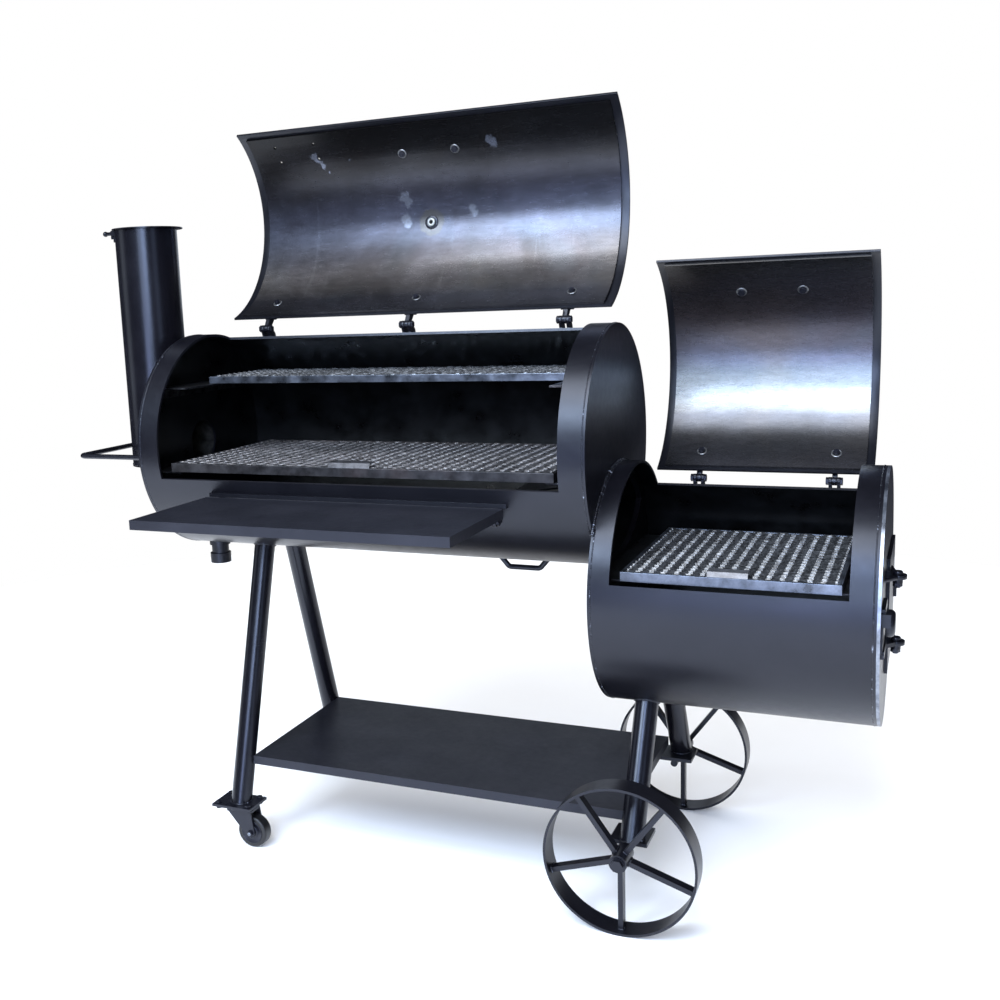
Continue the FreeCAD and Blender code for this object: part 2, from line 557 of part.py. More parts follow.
def door_panel(doorway, turns, slack_left, axis_z, holes):
    """Curved panel in an opening, with 3 mm to spare at its other three edges."""
    slack = math.degrees(3.0 / BARREL_R)
    span = (turns[0] + slack, turns[1] - slack)
    panel = curved(PANEL_R, (doorway[0] + slack_left, doorway[1] - 3), span, axis_z)
    return panel.cut([radial(x, turn, (200, 300), radius, axis_z) for x, turn, radius in holes])


def door_rim(doorway, turns, laps, spacer_xs, spacer_turns, axis_z):
    """Strips welded round a door's outside, which lap over the barrel at its rear, front, left and right."""
    rear, front, left, right = laps
    outer_turns = (turns[0] - math.degrees(rear / BARREL_R), turns[1] + math.degrees(front / BARREL_R))
    whole = curved(RIM_R, (doorway[0] - left, doorway[1] + right), outer_turns, axis_z)
    window = curved((RIM_R[0] - 5, RIM_R[1] + 5), (doorway[0] + RIM_WIDTH, doorway[1] - RIM_WIDTH),
                    (turns[0] + 3, turns[1] - 3.5), axis_z)
    rim = whole.cut(window)
    pads = [curved(RIM_R, (x - 15, x + 15), spacer_turns, axis_z) for x in spacer_xs]
    return rim, pads


def door_handle(x, span, turn, axis_z):
    """Bar on two posts, square to the door."""
    foot, grip = PANEL_R[1], PANEL_R[1] + 58
    bar = rod((x - span / 2 - 38, 0, axis_z + grip), (x + span / 2 + 38, 0, axis_z + grip), 11)
    places = [x + side * span / 2 for side in (-1, 1)]
    posts = [rod((place, 0, axis_z + foot), (place, 0, axis_z + grip), 8) for place in places]
    bores = [rod((place, 0, axis_z + foot - 1), (place, 0, axis_z + foot + 18), BOLT_R) for place in places]
    return turned(bar.fuse(posts).cut(bores), turn, axis_z)


def handle_bolts(x, span, turn, axis_z):
    """Bolts from inside the door into the handle's posts."""
    bolts = []
    for side in (-1, 1):
        place = x + side * span / 2
        seat = axis_z + nut_seat(PANEL_R[0], 14)
        shank = rod((place, 0, seat), (place, 0, axis_z + PANEL_R[1] + 17), BOLT_R)
        head = hexagon((place, 0, seat), (0, 0, -1), 14, 5)
        bolts.append(turned(shank.fuse(head), turn, axis_z))
    return bolts


def thermometer_bung():
    """Threaded bung through the door's middle, with its lock nut inside."""
    x = MAIN_HINGE_XS[1]
    body = rod((x, 0, CHAMBER_Z + PANEL_R[0] - 10), (x, 0, CHAMBER_Z + PANEL_R[1] + 14), BUNG_R)
    nut = hexagon((x, 0, CHAMBER_Z + nut_seat(PANEL_R[0], 38)), (0, 0, -1), 38, 7)
    bore = rod((x, 0, CHAMBER_Z + 200), (x, 0, CHAMBER_Z + 300), BUNG_BORE_R)
    return turned(body.fuse(nut).cut(bore), BUNG_TURN, CHAMBER_Z), x


# ---------------------------------------------------------------- grates
def grate_frame(plan):
    """Flat bars on edge round the grate, two cross bars and a grip plate at the front."""
    x, y, top, depth = plan["x"], plan["y"], plan["top"], plan["depth"]
    z = (top - depth, top - MESH_THICK)
    inside = [(low + GRATE_BAR, high - GRATE_BAR) for low, high in (x, y)]
    frame = box(x, y, z).cut(box(*inside, z))
    for i in (1, 2):
        middle = x[0] + (x[1] - x[0]) * i / 3
        frame = frame.fuse(box((middle - 2, middle + 2), (y[0] + 1, y[1] - 1), (top - MESH_THICK - 10, z[1])))
    return frame


def grate_grip(plan, length):
    """Small plate bent up over the mesh at the front edge, to lift the grate by."""
    middle, front, top = sum(plan["x"]) / 2, plan["y"][0], plan["top"]
    return box((middle - length / 2, middle + length / 2), (front + 2, front + 30), (top, top + 4))


def grate_mesh(plan, pitch_x, pitch_y):
    """Expanded metal: zigzag strands side by side, joined where their corners meet."""
    x, y, top = plan["x"], plan["y"], plan["top"]
    columns = int((x[1] - x[0]) / pitch_x)
    rows = int((y[1] - y[0]) / pitch_y)
    step_x, step_y = (x[1] - x[0]) / columns, (y[1] - y[0]) / rows
    swing = step_y / 4 - STRAND / 4
    strands = []
    for row in range(rows):
        for phase in (0, 1):
            centre = y[0] + step_y * (row + 0.25 + 0.5 * phase)
            corners = range(2 * columns + 1)
            line = [(x[0] + step_x / 2 * i, centre + swing * (-1) ** (i + phase)) for i in corners]
            near = [(px, py - STRAND / 2) for px, py in line]
            far = [(px, py + STRAND / 2) for px, py in reversed(line)]
            strands.append(extrude_xy(near + far, (top - MESH_THICK, top)))
    return strands


def end_rails(plan, walls, y):
    """Angle rails across the ends of a barrel, which carry a grate."""
    top, thick = plan["top"] - plan["depth"] - 0.3, RAIL_THICK
    rails = []
    for wall, reach in zip(walls, (plan["x"][0] + 18, plan["x"][1] - 18)):
        inward = 1 if reach > wall else -1
        flat = box(sorted((wall, reach)), y, (top - thick, top))
        upright = box(sorted((wall, wall + inward * thick)), y, (top - 26, top - thick))
        rails.append(flat.fuse(upright))
    return rails


def fire_grate():
    """Round bars on two runners, low in the firebox, for the logs."""
    runners = [box((30, 490), sorted((side * 100, side * 106)), (418, 446)) for side in (-1, 1)]
    limit = barrel_solid((0, FIREBOX_LENGTH), FIREBOX_Z, BARREL_R - WALL)
    bars = [rod((x, -150, 454), (x, 150, 454), 8) for x in range(40, 481, 44)]
    return [runner.common(limit) for runner in runners] + bars


# ---------------------------------------------------------------- end door and damper
def d_plate(x, y, z, reach):
    """Lug with a straight root on the end plate and a rounded tip round the hinge bolt."""
    tip = rod((END_PIVOT_X, END_PIVOT_Y, z[0]), (END_PIVOT_X, END_PIVOT_Y, z[1]), reach)
    sides = [(END_PIVOT_X, END_PIVOT_Y + reach), (END_PIVOT_X, END_PIVOT_Y - reach)]
    return extrude_xy([(x, y[0]), (x, y[1])] + sides, z).fuse(tip)


def end_door_lugs():
    lugs = []
    for z in END_LUG_ZS:
        lug = d_plate(PLATE_XS[2], (END_PIVOT_Y - 42, END_PIVOT_Y + 22), (z - 4, z + 4), 16)
        lugs.append(lug.cut(rod((END_PIVOT_X, END_PIVOT_Y, z - 9), (END_PIVOT_X, END_PIVOT_Y, z + 9), PIN_R)))
    return lugs


def end_door_bolts():
    bolts = []
    for z in END_LUG_ZS:
        low, high = strap_heights(z)[0], z + 4
        shank = rod((END_PIVOT_X, END_PIVOT_Y, low - 9), (END_PIVOT_X, END_PIVOT_Y, high), PIN_R)
        head = rod((END_PIVOT_X, END_PIVOT_Y, high), (END_PIVOT_X, END_PIVOT_Y, high + 7), 9)
        nut = hexagon((END_PIVOT_X, END_PIVOT_Y, low - 0.5), (0, 0, -1), 15, 6)
        bolts.append(shank.fuse([head.makeFillet(3.0, [head.Edges[0]]), nut]))
    return bolts


def strap_heights(z):
    """A door strap hangs just below each lug."""
    return (z - 12.5, z - 4.5)


def end_door():
    """Flat ash door over the firebox's outer end, with its two hinge straps and a low finger rib."""
    x = (PLATE_XS[2] + 0.5, PLATE_XS[2] + 6.5)
    door = box(x, END_DOOR_Y, END_DOOR_Z)
    for z in END_LUG_ZS:
        span = strap_heights(z)
        strap = extrude_xy([(x[0], END_DOOR_Y[0] + 30), (END_PIVOT_X - 3, END_PIVOT_Y - 8.5),
                            (END_PIVOT_X + 3, END_PIVOT_Y - 8.5), (END_PIVOT_X + 9, END_PIVOT_Y + 3),
                            (x[1] + 1, END_DOOR_Y[0] + 70), (x[0], END_DOOR_Y[0] + 70)], span)
        strap = strap.fuse(rod((END_PIVOT_X, END_PIVOT_Y, span[0]), (END_PIVOT_X, END_PIVOT_Y, span[1]), 9))
        door = door.fuse(strap)
        low, high = (END_PIVOT_X, END_PIVOT_Y, span[0] - 1), (END_PIVOT_X, END_PIVOT_Y, span[1] + 1)
        door = door.cut(rod(low, high, PIN_R + RUNNING))
    pull = box((x[0], x[1] + 6), (END_DOOR_Y[1] - 22, END_DOOR_Y[1] - 16), (600, 650))
    return door.fuse(pull)


def damper_slide():
    """Flat plate over the air hole, with an outward tab at its front edge."""
    x = (PLATE_XS[2] + 0.3, PLATE_XS[2] + 3.3)
    plate = box(x, DAMPER_Y, (DAMPER_Z[0] + 0.5, DAMPER_Z[1] - 0.5))
    tab = box((x[0], x[1] + 12.7), (DAMPER_Y[0] - 3, DAMPER_Y[0]), (641, 665))
    return plate.fuse(tab)


def damper_knob():
    """Domed knob on a short stem that stands on the slide, behind its tab and clear of the guides."""
    foot = PLATE_XS[2] + 3.3
    stem = rod((foot, KNOB_Y, KNOB_Z), (foot + 5, KNOB_Y, KNOB_Z), 8)
    dome = rod((foot + 4.7, KNOB_Y, KNOB_Z), (foot + 19.7, KNOB_Y, KNOB_Z), KNOB_R)
    dome = dome.makeFillet(9.0, [edge for edge in dome.Edges if edge.BoundBox.XMin > foot + 15])
    return stem.fuse(dome)


def damper_guides():
    """Stepped strips above and below the slide."""
    guides = []
    for edge, out in ((DAMPER_Z[0], -1), (DAMPER_Z[1], 1)):
        y = (-232.0, -146.0)
        spacer = box((PLATE_XS[2], PLATE_XS[2] + 3.9), y, sorted((edge, edge + out * 8)))
        lip = box((PLATE_XS[2] + 3.9, PLATE_XS[2] + 6.4), y, sorted((edge - out * 6, edge + out * 8)))
        guides.append(spacer.fuse(lip))
    return guides


# ---------------------------------------------------------------- build
def build_main_door():
    doorway = (CHAMBER_LEFT + CHAMBER_COLLARS[0], CHAMBER_RIGHT - CHAMBER_COLLARS[1])
    place = (MAIN_PIVOT_R, MAIN_PIVOT_TURN, CHAMBER_Z, MAIN_OPEN)
    bung, bung_x = thermometer_bung()
    handle_xs = [MAIN_HANDLE_X - MAIN_HANDLE_SPAN / 2, MAIN_HANDLE_X + MAIN_HANDLE_SPAN / 2]
    holes = [(x, MAIN_HINGE_BOLT_TURN, BOLT_HOLE_R) for x in MAIN_HINGE_XS]
    holes += [(x, MAIN_HANDLE_TURN, BOLT_HOLE_R) for x in handle_xs]
    holes += [(bung_x, BUNG_TURN, BUNG_R)]
    holes += [(x, turn, 3.5) for x in (-912.0, -804.0) for turn in (87.0, 96.7)]
    panel = door_panel(doorway, CHAMBER_TURNS, MAIN_SLACK_LEFT, CHAMBER_Z, holes)
    pad_turns = (CHAMBER_TURNS[0] + 3.05, MAIN_HINGE_BOLT_TURN + 4)
    rim, pads = door_rim(doorway, CHAMBER_TURNS, MAIN_LAPS, MAIN_HINGE_XS, pad_turns, CHAMBER_Z)
    drills = [radial(x, MAIN_HINGE_BOLT_TURN, (200, 300), BOLT_HOLE_R, CHAMBER_Z) for x in MAIN_HINGE_XS]
    straps = hinge_straps(MAIN_HINGE_XS, MAIN_PIVOT_R, MAIN_PIVOT_TURN, MAIN_HINGE_BOLT_TURN, CHAMBER_Z)
    bolts = [radial_bolt(x, MAIN_HINGE_BOLT_TURN, PANEL_R[0], RIM_R[1] + 7, CHAMBER_Z) for x in MAIN_HINGE_XS]
    bolts += handle_bolts(MAIN_HANDLE_X, MAIN_HANDLE_SPAN, MAIN_HANDLE_TURN, CHAMBER_Z)
    handle = door_handle(MAIN_HANDLE_X, MAIN_HANDLE_SPAN, MAIN_HANDLE_TURN, CHAMBER_Z)
    write("main_door_panel", opened(panel, *place))
    write("main_door_rim", *[opened(s, *place) for s in [rim] + [pad.cut(drills) for pad in pads]])
    write("main_door_hinge_straps", *[opened(s, *place) for s in straps])
    write("main_door_bolts", *[opened(s, *place) for s in bolts])
    write("main_door_handle", opened(handle, *place))
    write("thermometer_bung", opened(bung, *place))


def build_firebox_lid():
    doorway = (FIREBOX_COLLARS[0], FIREBOX_LENGTH - FIREBOX_COLLARS[1])
    place = (LID_PIVOT_R, LID_PIVOT_TURN, FIREBOX_Z, LID_OPEN)
    handle_xs = [LID_HANDLE_X - LID_HANDLE_SPAN / 2, LID_HANDLE_X + LID_HANDLE_SPAN / 2]
    holes = [(x, LID_HINGE_BOLT_TURN, BOLT_HOLE_R) for x in LID_HINGE_XS]
    holes += [(x, LID_HANDLE_TURN, BOLT_HOLE_R) for x in handle_xs]
    panel = door_panel(doorway, FIREBOX_TURNS, LID_SLACK_LEFT, FIREBOX_Z, holes)
    pad_turns = (FIREBOX_TURNS[0] + 3.05, LID_HINGE_BOLT_TURN + 4)
    rim, pads = door_rim(doorway, FIREBOX_TURNS, LID_LAPS, LID_HINGE_XS, pad_turns, FIREBOX_Z)
    drills = [radial(x, LID_HINGE_BOLT_TURN, (200, 300), BOLT_HOLE_R, FIREBOX_Z) for x in LID_HINGE_XS]
    straps = hinge_straps(LID_HINGE_XS, LID_PIVOT_R, LID_PIVOT_TURN, LID_HINGE_BOLT_TURN, FIREBOX_Z)
    bolts = [radial_bolt(x, LID_HINGE_BOLT_TURN, PANEL_R[0], RIM_R[1] + 7, FIREBOX_Z) for x in LID_HINGE_XS]
    bolts += handle_bolts(LID_HANDLE_X, LID_HANDLE_SPAN, LID_HANDLE_TURN, FIREBOX_Z)
    handle = door_handle(LID_HANDLE_X, LID_HANDLE_SPAN, LID_HANDLE_TURN, FIREBOX_Z)
    write("firebox_lid_panel", opened(panel, *place))
    write("firebox_lid_rim", *[opened(s, *place) for s in [rim] + [pad.cut(drills) for pad in pads]])
    write("firebox_lid_hinge_straps", *[opened(s, *place) for s in straps])
    write("firebox_lid_bolts", *[opened(s, *place) for s in bolts])
    write("firebox_lid_handle", opened(handle, *place))


def build_barrels():
    write("chamber_shell", chamber_shell())
    write("chamber_end_left", chamber_end_left())
    write("chamber_end_right", chamber_end_right())
    write("firebox_shell", firebox_shell())
    write("firebox_end_left", firebox_end_left())
    write("firebox_end_right", end_plate(PLATE_XS[:2]))
    write("firebox_heat_shield", end_plate(PLATE_XS[1:]))
    write("throat_baffle", throat_baffle())
    write("smokestack", smokestack())
    write("stack_base", stack_base())
    write("stack_stub", stack_stub())
    write("stack_cap_lugs", *stack_cap_lugs())
    write("stack_cap", stack_cap())
    write("drain_pipe", drain_pipe())
    write("end_handle", end_handle())
    write("under_handle", under_handle())
    lug_sets = [(MAIN_HINGE_XS, MAIN_PIVOT_R, MAIN_PIVOT_TURN, CHAMBER_Z),
                (LID_HINGE_XS, LID_PIVOT_R, LID_PIVOT_TURN, FIREBOX_Z)]
    write("main_door_hinge_lugs", *hinge_lugs(*lug_sets[0]))
    write("firebox_lid_hinge_lugs", *hinge_lugs(*lug_sets[1]))
    write("hinge_pins", *(hinge_pins(*lug_sets[0]) + hinge_pins(*lug_sets[1])))


def build_stand():
    for side, name in ((-1, "front"), (1, "rear")):
        write("leg_left_%s" % name, leg(LEFT_LEG, side, CHAMBER_Z))
        write("leg_right_%s" % name, leg(RIGHT_LEG, side, FIREBOX_Z))
        write("wagon_wheel_%s" % name, wagon_wheel(side))
        write("caster_fork_%s" % name, caster_fork(side))
        write("caster_wheel_%s" % name, caster_wheel(side))
    write("bottom_shelf", tray(BOTTOM_SHELF, SHELF_SKIRT))
    write("caster_plates", *caster_plates())
    write("caster_plate_bolts", *caster_plate_bolts())
    write("axle_plates", *axle_plates())
    write("wheel_axles", *wheel_axles())
    write("front_shelf", front_shelf())
    write("shelf_brackets", *shelf_brackets())


def build_inside():
    grates = (("lower_grate", LOWER_GRATE, 100.0), ("upper_grate", UPPER_GRATE, 0),
              ("firebox_grate", FIRE_TOP_GRATE, 76.0))
    for name, plan, grip in grates:
        frame = [grate_frame(plan)]
        if grip:
            frame.append(grate_grip(plan, grip))
        write(name + "_frame", *frame)
        write(name + "_mesh", *grate_mesh(plan, 60.0, 46.0))
    chamber_walls = (CHAMBER_LEFT + WALL, CHAMBER_RIGHT - WALL)
    rails = end_rails(LOWER_GRATE, chamber_walls, (-215, 215))
    rails += end_rails(UPPER_GRATE, chamber_walls, (-177, 184))
    write("grate_rails", *(rails + end_rails(FIRE_TOP_GRATE, (WALL, PLATE_XS[0]), (-215, 215))))
    write("fire_grate", *fire_grate())


def build_firebox_end():
    write("end_door_lugs", *end_door_lugs())
    write("pivot_bolts", *(end_door_bolts() + shelf_bolts()))
    write("end_door", end_door())
    write("damper_slide", damper_slide(), damper_knob())
    write("damper_guides", *damper_guides())


os.makedirs("parts", exist_ok=True)
build_barrels()
build_main_door()
build_firebox_lid()
build_stand()
build_inside()
build_firebox_end()
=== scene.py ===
"""Looks of the offset smoker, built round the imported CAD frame."""

import json
import math
import random

import bpy
import numpy as np
from mathutils import Matrix, Vector


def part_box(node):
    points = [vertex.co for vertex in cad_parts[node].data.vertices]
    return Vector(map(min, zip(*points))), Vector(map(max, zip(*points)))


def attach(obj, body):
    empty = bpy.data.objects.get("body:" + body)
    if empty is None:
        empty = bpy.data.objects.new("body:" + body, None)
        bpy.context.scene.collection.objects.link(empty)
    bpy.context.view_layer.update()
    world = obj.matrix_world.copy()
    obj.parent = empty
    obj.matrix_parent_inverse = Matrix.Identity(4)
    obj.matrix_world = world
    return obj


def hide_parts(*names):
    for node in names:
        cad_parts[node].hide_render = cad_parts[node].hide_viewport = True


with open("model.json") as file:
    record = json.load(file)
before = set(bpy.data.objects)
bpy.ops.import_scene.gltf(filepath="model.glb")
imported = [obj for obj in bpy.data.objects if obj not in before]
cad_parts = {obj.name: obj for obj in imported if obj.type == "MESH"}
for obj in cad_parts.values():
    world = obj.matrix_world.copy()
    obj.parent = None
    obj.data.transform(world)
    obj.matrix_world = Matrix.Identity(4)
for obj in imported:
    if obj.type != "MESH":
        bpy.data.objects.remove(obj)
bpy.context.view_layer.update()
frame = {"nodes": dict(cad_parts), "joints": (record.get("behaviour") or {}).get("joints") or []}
NODES = frame["nodes"]
RNG = random.Random(7)
X_AXIS, Z_AXIS = Vector((1, 0, 0)), Vector((0, 0, 1))


def mid(node):
    """Middle of a node's box."""
    low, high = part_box(node)
    return (low + high) / 2


def outward(turn):
    """Direction that a turn about a barrel's axis points, in degrees from straight up."""
    return Vector((0, -math.sin(math.radians(turn)), math.cos(math.radians(turn))))


def half_size(node, axis):
    """Half of a node's box along x, y or z."""
    low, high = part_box(node)
    return (getattr(high, axis) - getattr(low, axis)) / 2


# barrels' middles and outer radius, and the radius of the inner faces of their doors
CHAMBER, FIREBOX = mid("chamber_end_right"), mid("firebox_end_left")
BARREL_R, PANEL_INSET = half_size("chamber_end_right", "y"), 0.0055
PANEL_INNER = BARREL_R - PANEL_INSET


def open_hub(barrel, joint_name):
    """Middle of an open door's curve: the barrel's middle, swung about the hinge by its whole range."""
    joint = next(j for j in frame["joints"] if j["name"] == joint_name)
    pivot = Vector(joint["pos_m"])
    swing = Matrix.Rotation(math.radians(-joint["range_deg"][1]), 3, "X")
    return swing @ (Vector((pivot.x, barrel.y, barrel.z)) - pivot) + pivot


DOOR_HUB = {"main_door": open_hub(CHAMBER, "main_door_hinge"),
            "firebox_lid": open_hub(FIREBOX, "firebox_lid_hinge")}


# ------------------------------------------------------------------ materials
def new_material(name):
    """A node material: itself, its tree and its shader."""
    material = bpy.data.materials.new(name)
    material.use_nodes = True
    tree = material.node_tree
    return material, tree, tree.nodes["Principled BSDF"]


def noise(tree, scale, stretch=(1, 1, 1), turn=(0, 0, 0), **sockets):
    """Noise in the object's own metres, stretched along its axes."""
    place = tree.nodes.new("ShaderNodeTexCoord")
    mapping = tree.nodes.new("ShaderNodeMapping")
    mapping.inputs["Scale"].default_value = stretch
    mapping.inputs["Rotation"].default_value = turn
    made = tree.nodes.new("ShaderNodeTexNoise")
    made.inputs["Scale"].default_value = scale
    for key, value in sockets.items():
        made.inputs[key].default_value = value
    tree.links.new(place.outputs["Object"], mapping.inputs["Vector"])
    tree.links.new(mapping.outputs["Vector"], made.inputs["Vector"])
    return made


def ramp(tree, source, stops):
    """Colour ramp fed by a value."""
    made = tree.nodes.new("ShaderNodeValToRGB")
    elements = made.color_ramp.elements
    while len(elements) < len(stops):
        elements.new(0.5)
    for element, (at, colour) in zip(elements, stops):
        element.position = at
        element.color = (colour, colour, colour, 1) if isinstance(colour, (int, float)) else (*colour, 1)
    tree.links.new(source, made.inputs["Fac"])
    return made.outputs["Color"]


def blend(tree, factor, a, b, mode="MIX"):
    """Mix of two colours; each is a socket or a constant."""
    made = tree.nodes.new("ShaderNodeMix")
    made.data_type, made.blend_type = "RGBA", mode
    for index, value in ((0, factor), (6, a), (7, b)):
        if hasattr(value, "is_linked") or hasattr(value, "links"):
            tree.links.new(value, made.inputs[index])
        else:
            made.inputs[index].default_value = value if index == 0 else (*value, 1)
    return made.outputs[2]


def math_node(tree, operation, a, b, c=None):
    """One sum; each of a, b and c is a socket or a number."""
    made = tree.nodes.new("ShaderNodeMath")
    made.operation = operation
    for index, value in enumerate((a, b, c)):
        if isinstance(value, (int, float)):
            made.inputs[index].default_value = value
        elif value is not None:
            tree.links.new(value, made.inputs[index])
    return made.outputs[0]


def roughness(tree, shader, mixed, rough):
    """Lets a mottled colour drive the roughness between two values."""
    value = tree.nodes.new("ShaderNodeRGBToBW")
    tree.links.new(mixed, value.inputs[0])
    stops = [(0.36, rough[0]), (0.64, rough[1])]
    tree.links.new(ramp(tree, value.outputs[0], stops), shader.inputs["Roughness"])


def bump(tree, shader, parts):
    """Chain of bumps: (height socket, strength, distance in metres)."""
    last = None
    for height, strength, distance in parts:
        made = tree.nodes.new("ShaderNodeBump")
        made.inputs["Strength"].default_value = strength
        made.inputs["Distance"].default_value = distance
        tree.links.new(height, made.inputs["Height"])
        if last is not None:
            tree.links.new(last, made.inputs["Normal"])
        last = made.outputs["Normal"]
    tree.links.new(last, shader.inputs["Normal"])


# the cold cast of the paint's shine
PAINT_TINT = (0.82, 0.86, 1.0)


def paint(name, base=(0.0030, 0.0028, 0.0044), rough=(0.28, 0.40), peel=0.10, scuff=0.5,
          wear_and_glint=(0.018, 0.018, 0.024), marks_at=0.66):
    """Satin high-heat black, with orange peel, faint dust and light scuffs; on the weld beads the scuffs are
    bright and bluish, partly bare-metal wear and partly painted highlight.
    """
    material, tree, shader = new_material(name)
    cloud = noise(tree, 7.0, Detail=6.0, Roughness=0.62)
    dust = noise(tree, 60.0, Detail=4.0, Roughness=0.7)
    fine = noise(tree, 900.0, Detail=2.0)
    scratch = noise(tree, 26.0, (1, 9, 1), (0.4, 0.7, 0.2), Detail=7.0, Roughness=0.75)
    light = tuple(1.7 * c + 0.002 for c in base)
    faded = ramp(tree, cloud.outputs["Fac"], [(0.42, 0.0), (0.74, 0.75)])
    colour = blend(tree, faded, base, light)
    # scuffs from noise in the wear colour; on the weld beads this colour is partly painted highlight
    marks = ramp(tree, scratch.outputs["Fac"], [(marks_at, 0.0), (marks_at + 0.08, scuff)])
    colour = blend(tree, marks, colour, wear_and_glint)
    tree.links.new(colour, shader.inputs["Base Color"])
    mixed = blend(tree, 0.45, cloud.outputs["Color"], dust.outputs["Color"])
    roughness(tree, shader, mixed, rough)
    shader.inputs["Specular Tint"].default_value = (*PAINT_TINT, 1)
    shader.inputs["Specular IOR Level"].default_value = 0.46
    bump(tree, shader, [(fine.outputs["Fac"], peel, 0.0004), (cloud.outputs["Fac"], 0.10, 0.004)])
    return material


# half width of the soft edge of a spot
SPOT_SOFT = 0.0015


def spots(tree, places, ragged):
    """1 inside the listed places (x, y, z, radius in metres) and 0 outside, with ragged edges."""
    place = tree.nodes.new("ShaderNodeTexCoord")
    wobble = noise(tree, 70.0, Detail=5.0, Roughness=0.7)
    total = None
    for x, y, z, radius in places:
        away = tree.nodes.new("ShaderNodeVectorMath")
        away.operation = "DISTANCE"
        tree.links.new(place.outputs["Object"], away.inputs[0])
        away.inputs[1].default_value = (x, y, z)
        shifted = math_node(tree, "MULTIPLY_ADD", wobble.outputs["Fac"], ragged, away.outputs["Value"])
        edge = tree.nodes.new("ShaderNodeMapRange")
        tree.links.new(shifted, edge.inputs["Value"])
        edge.inputs["From Min"].default_value = radius + ragged / 2 + SPOT_SOFT
        edge.inputs["From Max"].default_value = radius + ragged / 2 - SPOT_SOFT
        inside = edge.outputs[0]
        total = inside if total is None else math_node(tree, "MAXIMUM", total, inside)
    return total


# how far the levels of painted light wander up and down, and the looks of stains on the doors' insides
LEVEL_WAVE, LEVEL_SHIFT = 0.012, 0.006
STAIN_RAGGED, HALO_RAGGED = 0.034, 0.02
STAIN_COLOUR, SPECK_COLOUR = (0.125, 0.135, 0.17), (0.30, 0.29, 0.31)


def painted_light_by_height(tree, cloud, levels):
    """Painted light that changes with height, a bright band of painted highlight between darker levels of
    painted shade: each level is (z, tint), and the borders wander a little.
    """
    low, high = levels[0][0], levels[-1][0]
    place, split = tree.nodes.new("ShaderNodeTexCoord"), tree.nodes.new("ShaderNodeSeparateXYZ")
    tree.links.new(place.outputs["Object"], split.inputs[0])
    wavy = math_node(tree, "MULTIPLY_ADD", cloud.outputs["Fac"], LEVEL_WAVE, split.outputs["Z"])
    height = tree.nodes.new("ShaderNodeMapRange")
    height.inputs["From Min"].default_value = low + LEVEL_SHIFT
    height.inputs["From Max"].default_value = high + LEVEL_SHIFT
    tree.links.new(wavy, height.inputs["Value"])
    return ramp(tree, height.outputs[0], [((z - low) / (high - low), tint) for z, tint in levels])


# heat tints of the doors' insides
WARM = [(0.34, (1.0, 0.90, 0.84)), (0.48, (0.92, 0.91, 0.96)), (0.58, (0.95, 0.90, 0.96)),
        (0.70, (0.80, 0.90, 1.0))]


def seasoned(name, dark, bright, rough, run, levels, marks=(), halo=()):
    """Inside of a door: oiled steel with heat tints, painted light by height (a band of painted highlight and
    painted shade), faint upright runs and pale specks.
    """
    material, tree, shader = new_material(name)
    cloud = noise(tree, 5.5, Detail=7.0, Roughness=0.62, Distortion=0.5)
    heat = noise(tree, 2.6, (1, 1, 1), (0.3, 0.2, 0.9), Detail=4.0, Distortion=0.7)
    grain = noise(tree, 120.0, (0.25, 1, 1), Detail=5.0, Roughness=0.7)
    fine = noise(tree, 420.0, Detail=3.0)
    runs = noise(tree, 34.0, (1, 0.06, 0.06), Detail=4.0, Roughness=0.7)
    speck = noise(tree, 75.0, (1, 1, 1), (0.4, 0.1, 0.6), Detail=6.0, Roughness=0.75)
    colour = blend(tree, ramp(tree, cloud.outputs["Fac"], [(0.36, 0.0), (0.66, 1.0)]), dark, bright)
    worked = ramp(tree, grain.outputs["Fac"], [(0.35, 0.55), (0.65, 1.0)])
    colour = blend(tree, 0.5, colour, worked, "MULTIPLY")
    colour = blend(tree, 0.9, colour, ramp(tree, heat.outputs["Fac"], WARM), "MULTIPLY")
    streaks = blend(tree, 1.0, ramp(tree, runs.outputs["Fac"], [(0.62, 0.0), (0.70, run)]),
                    ramp(tree, heat.outputs["Fac"], [(0.50, 0.0), (0.58, 1.0)]), "MULTIPLY")
    colour = blend(tree, streaks, colour, tuple(2.6 * c for c in bright))
    dusted = ramp(tree, speck.outputs["Fac"], [(0.725, 0.0), (0.76, 0.8)])
    colour = blend(tree, dusted, colour, SPECK_COLOUR)
    # painted highlight band and painted shade by height, multiplied over the steel's colour
    colour = blend(tree, 1.0, colour, painted_light_by_height(tree, cloud, levels), "MULTIPLY")
    if halo:
        colour = blend(tree, spots(tree, halo, HALO_RAGGED), colour, tuple(0.5 * c for c in dark))
    if marks:
        colour = blend(tree, spots(tree, marks, STAIN_RAGGED), colour, STAIN_COLOUR)
    tree.links.new(colour, shader.inputs["Base Color"])
    mixed = blend(tree, 0.75, cloud.outputs["Color"], grain.outputs["Color"])
    roughness(tree, shader, mixed, rough)
    shader.inputs["Metallic"].default_value = 0.75
    shader.inputs["Specular IOR Level"].default_value = 0.7
    bump(tree, shader, [(cloud.outputs["Fac"], 0.05, 0.0025), (fine.outputs["Fac"], 0.12, 0.0003)])
    return material


RUST_COLOUR = (0.10, 0.050, 0.040)


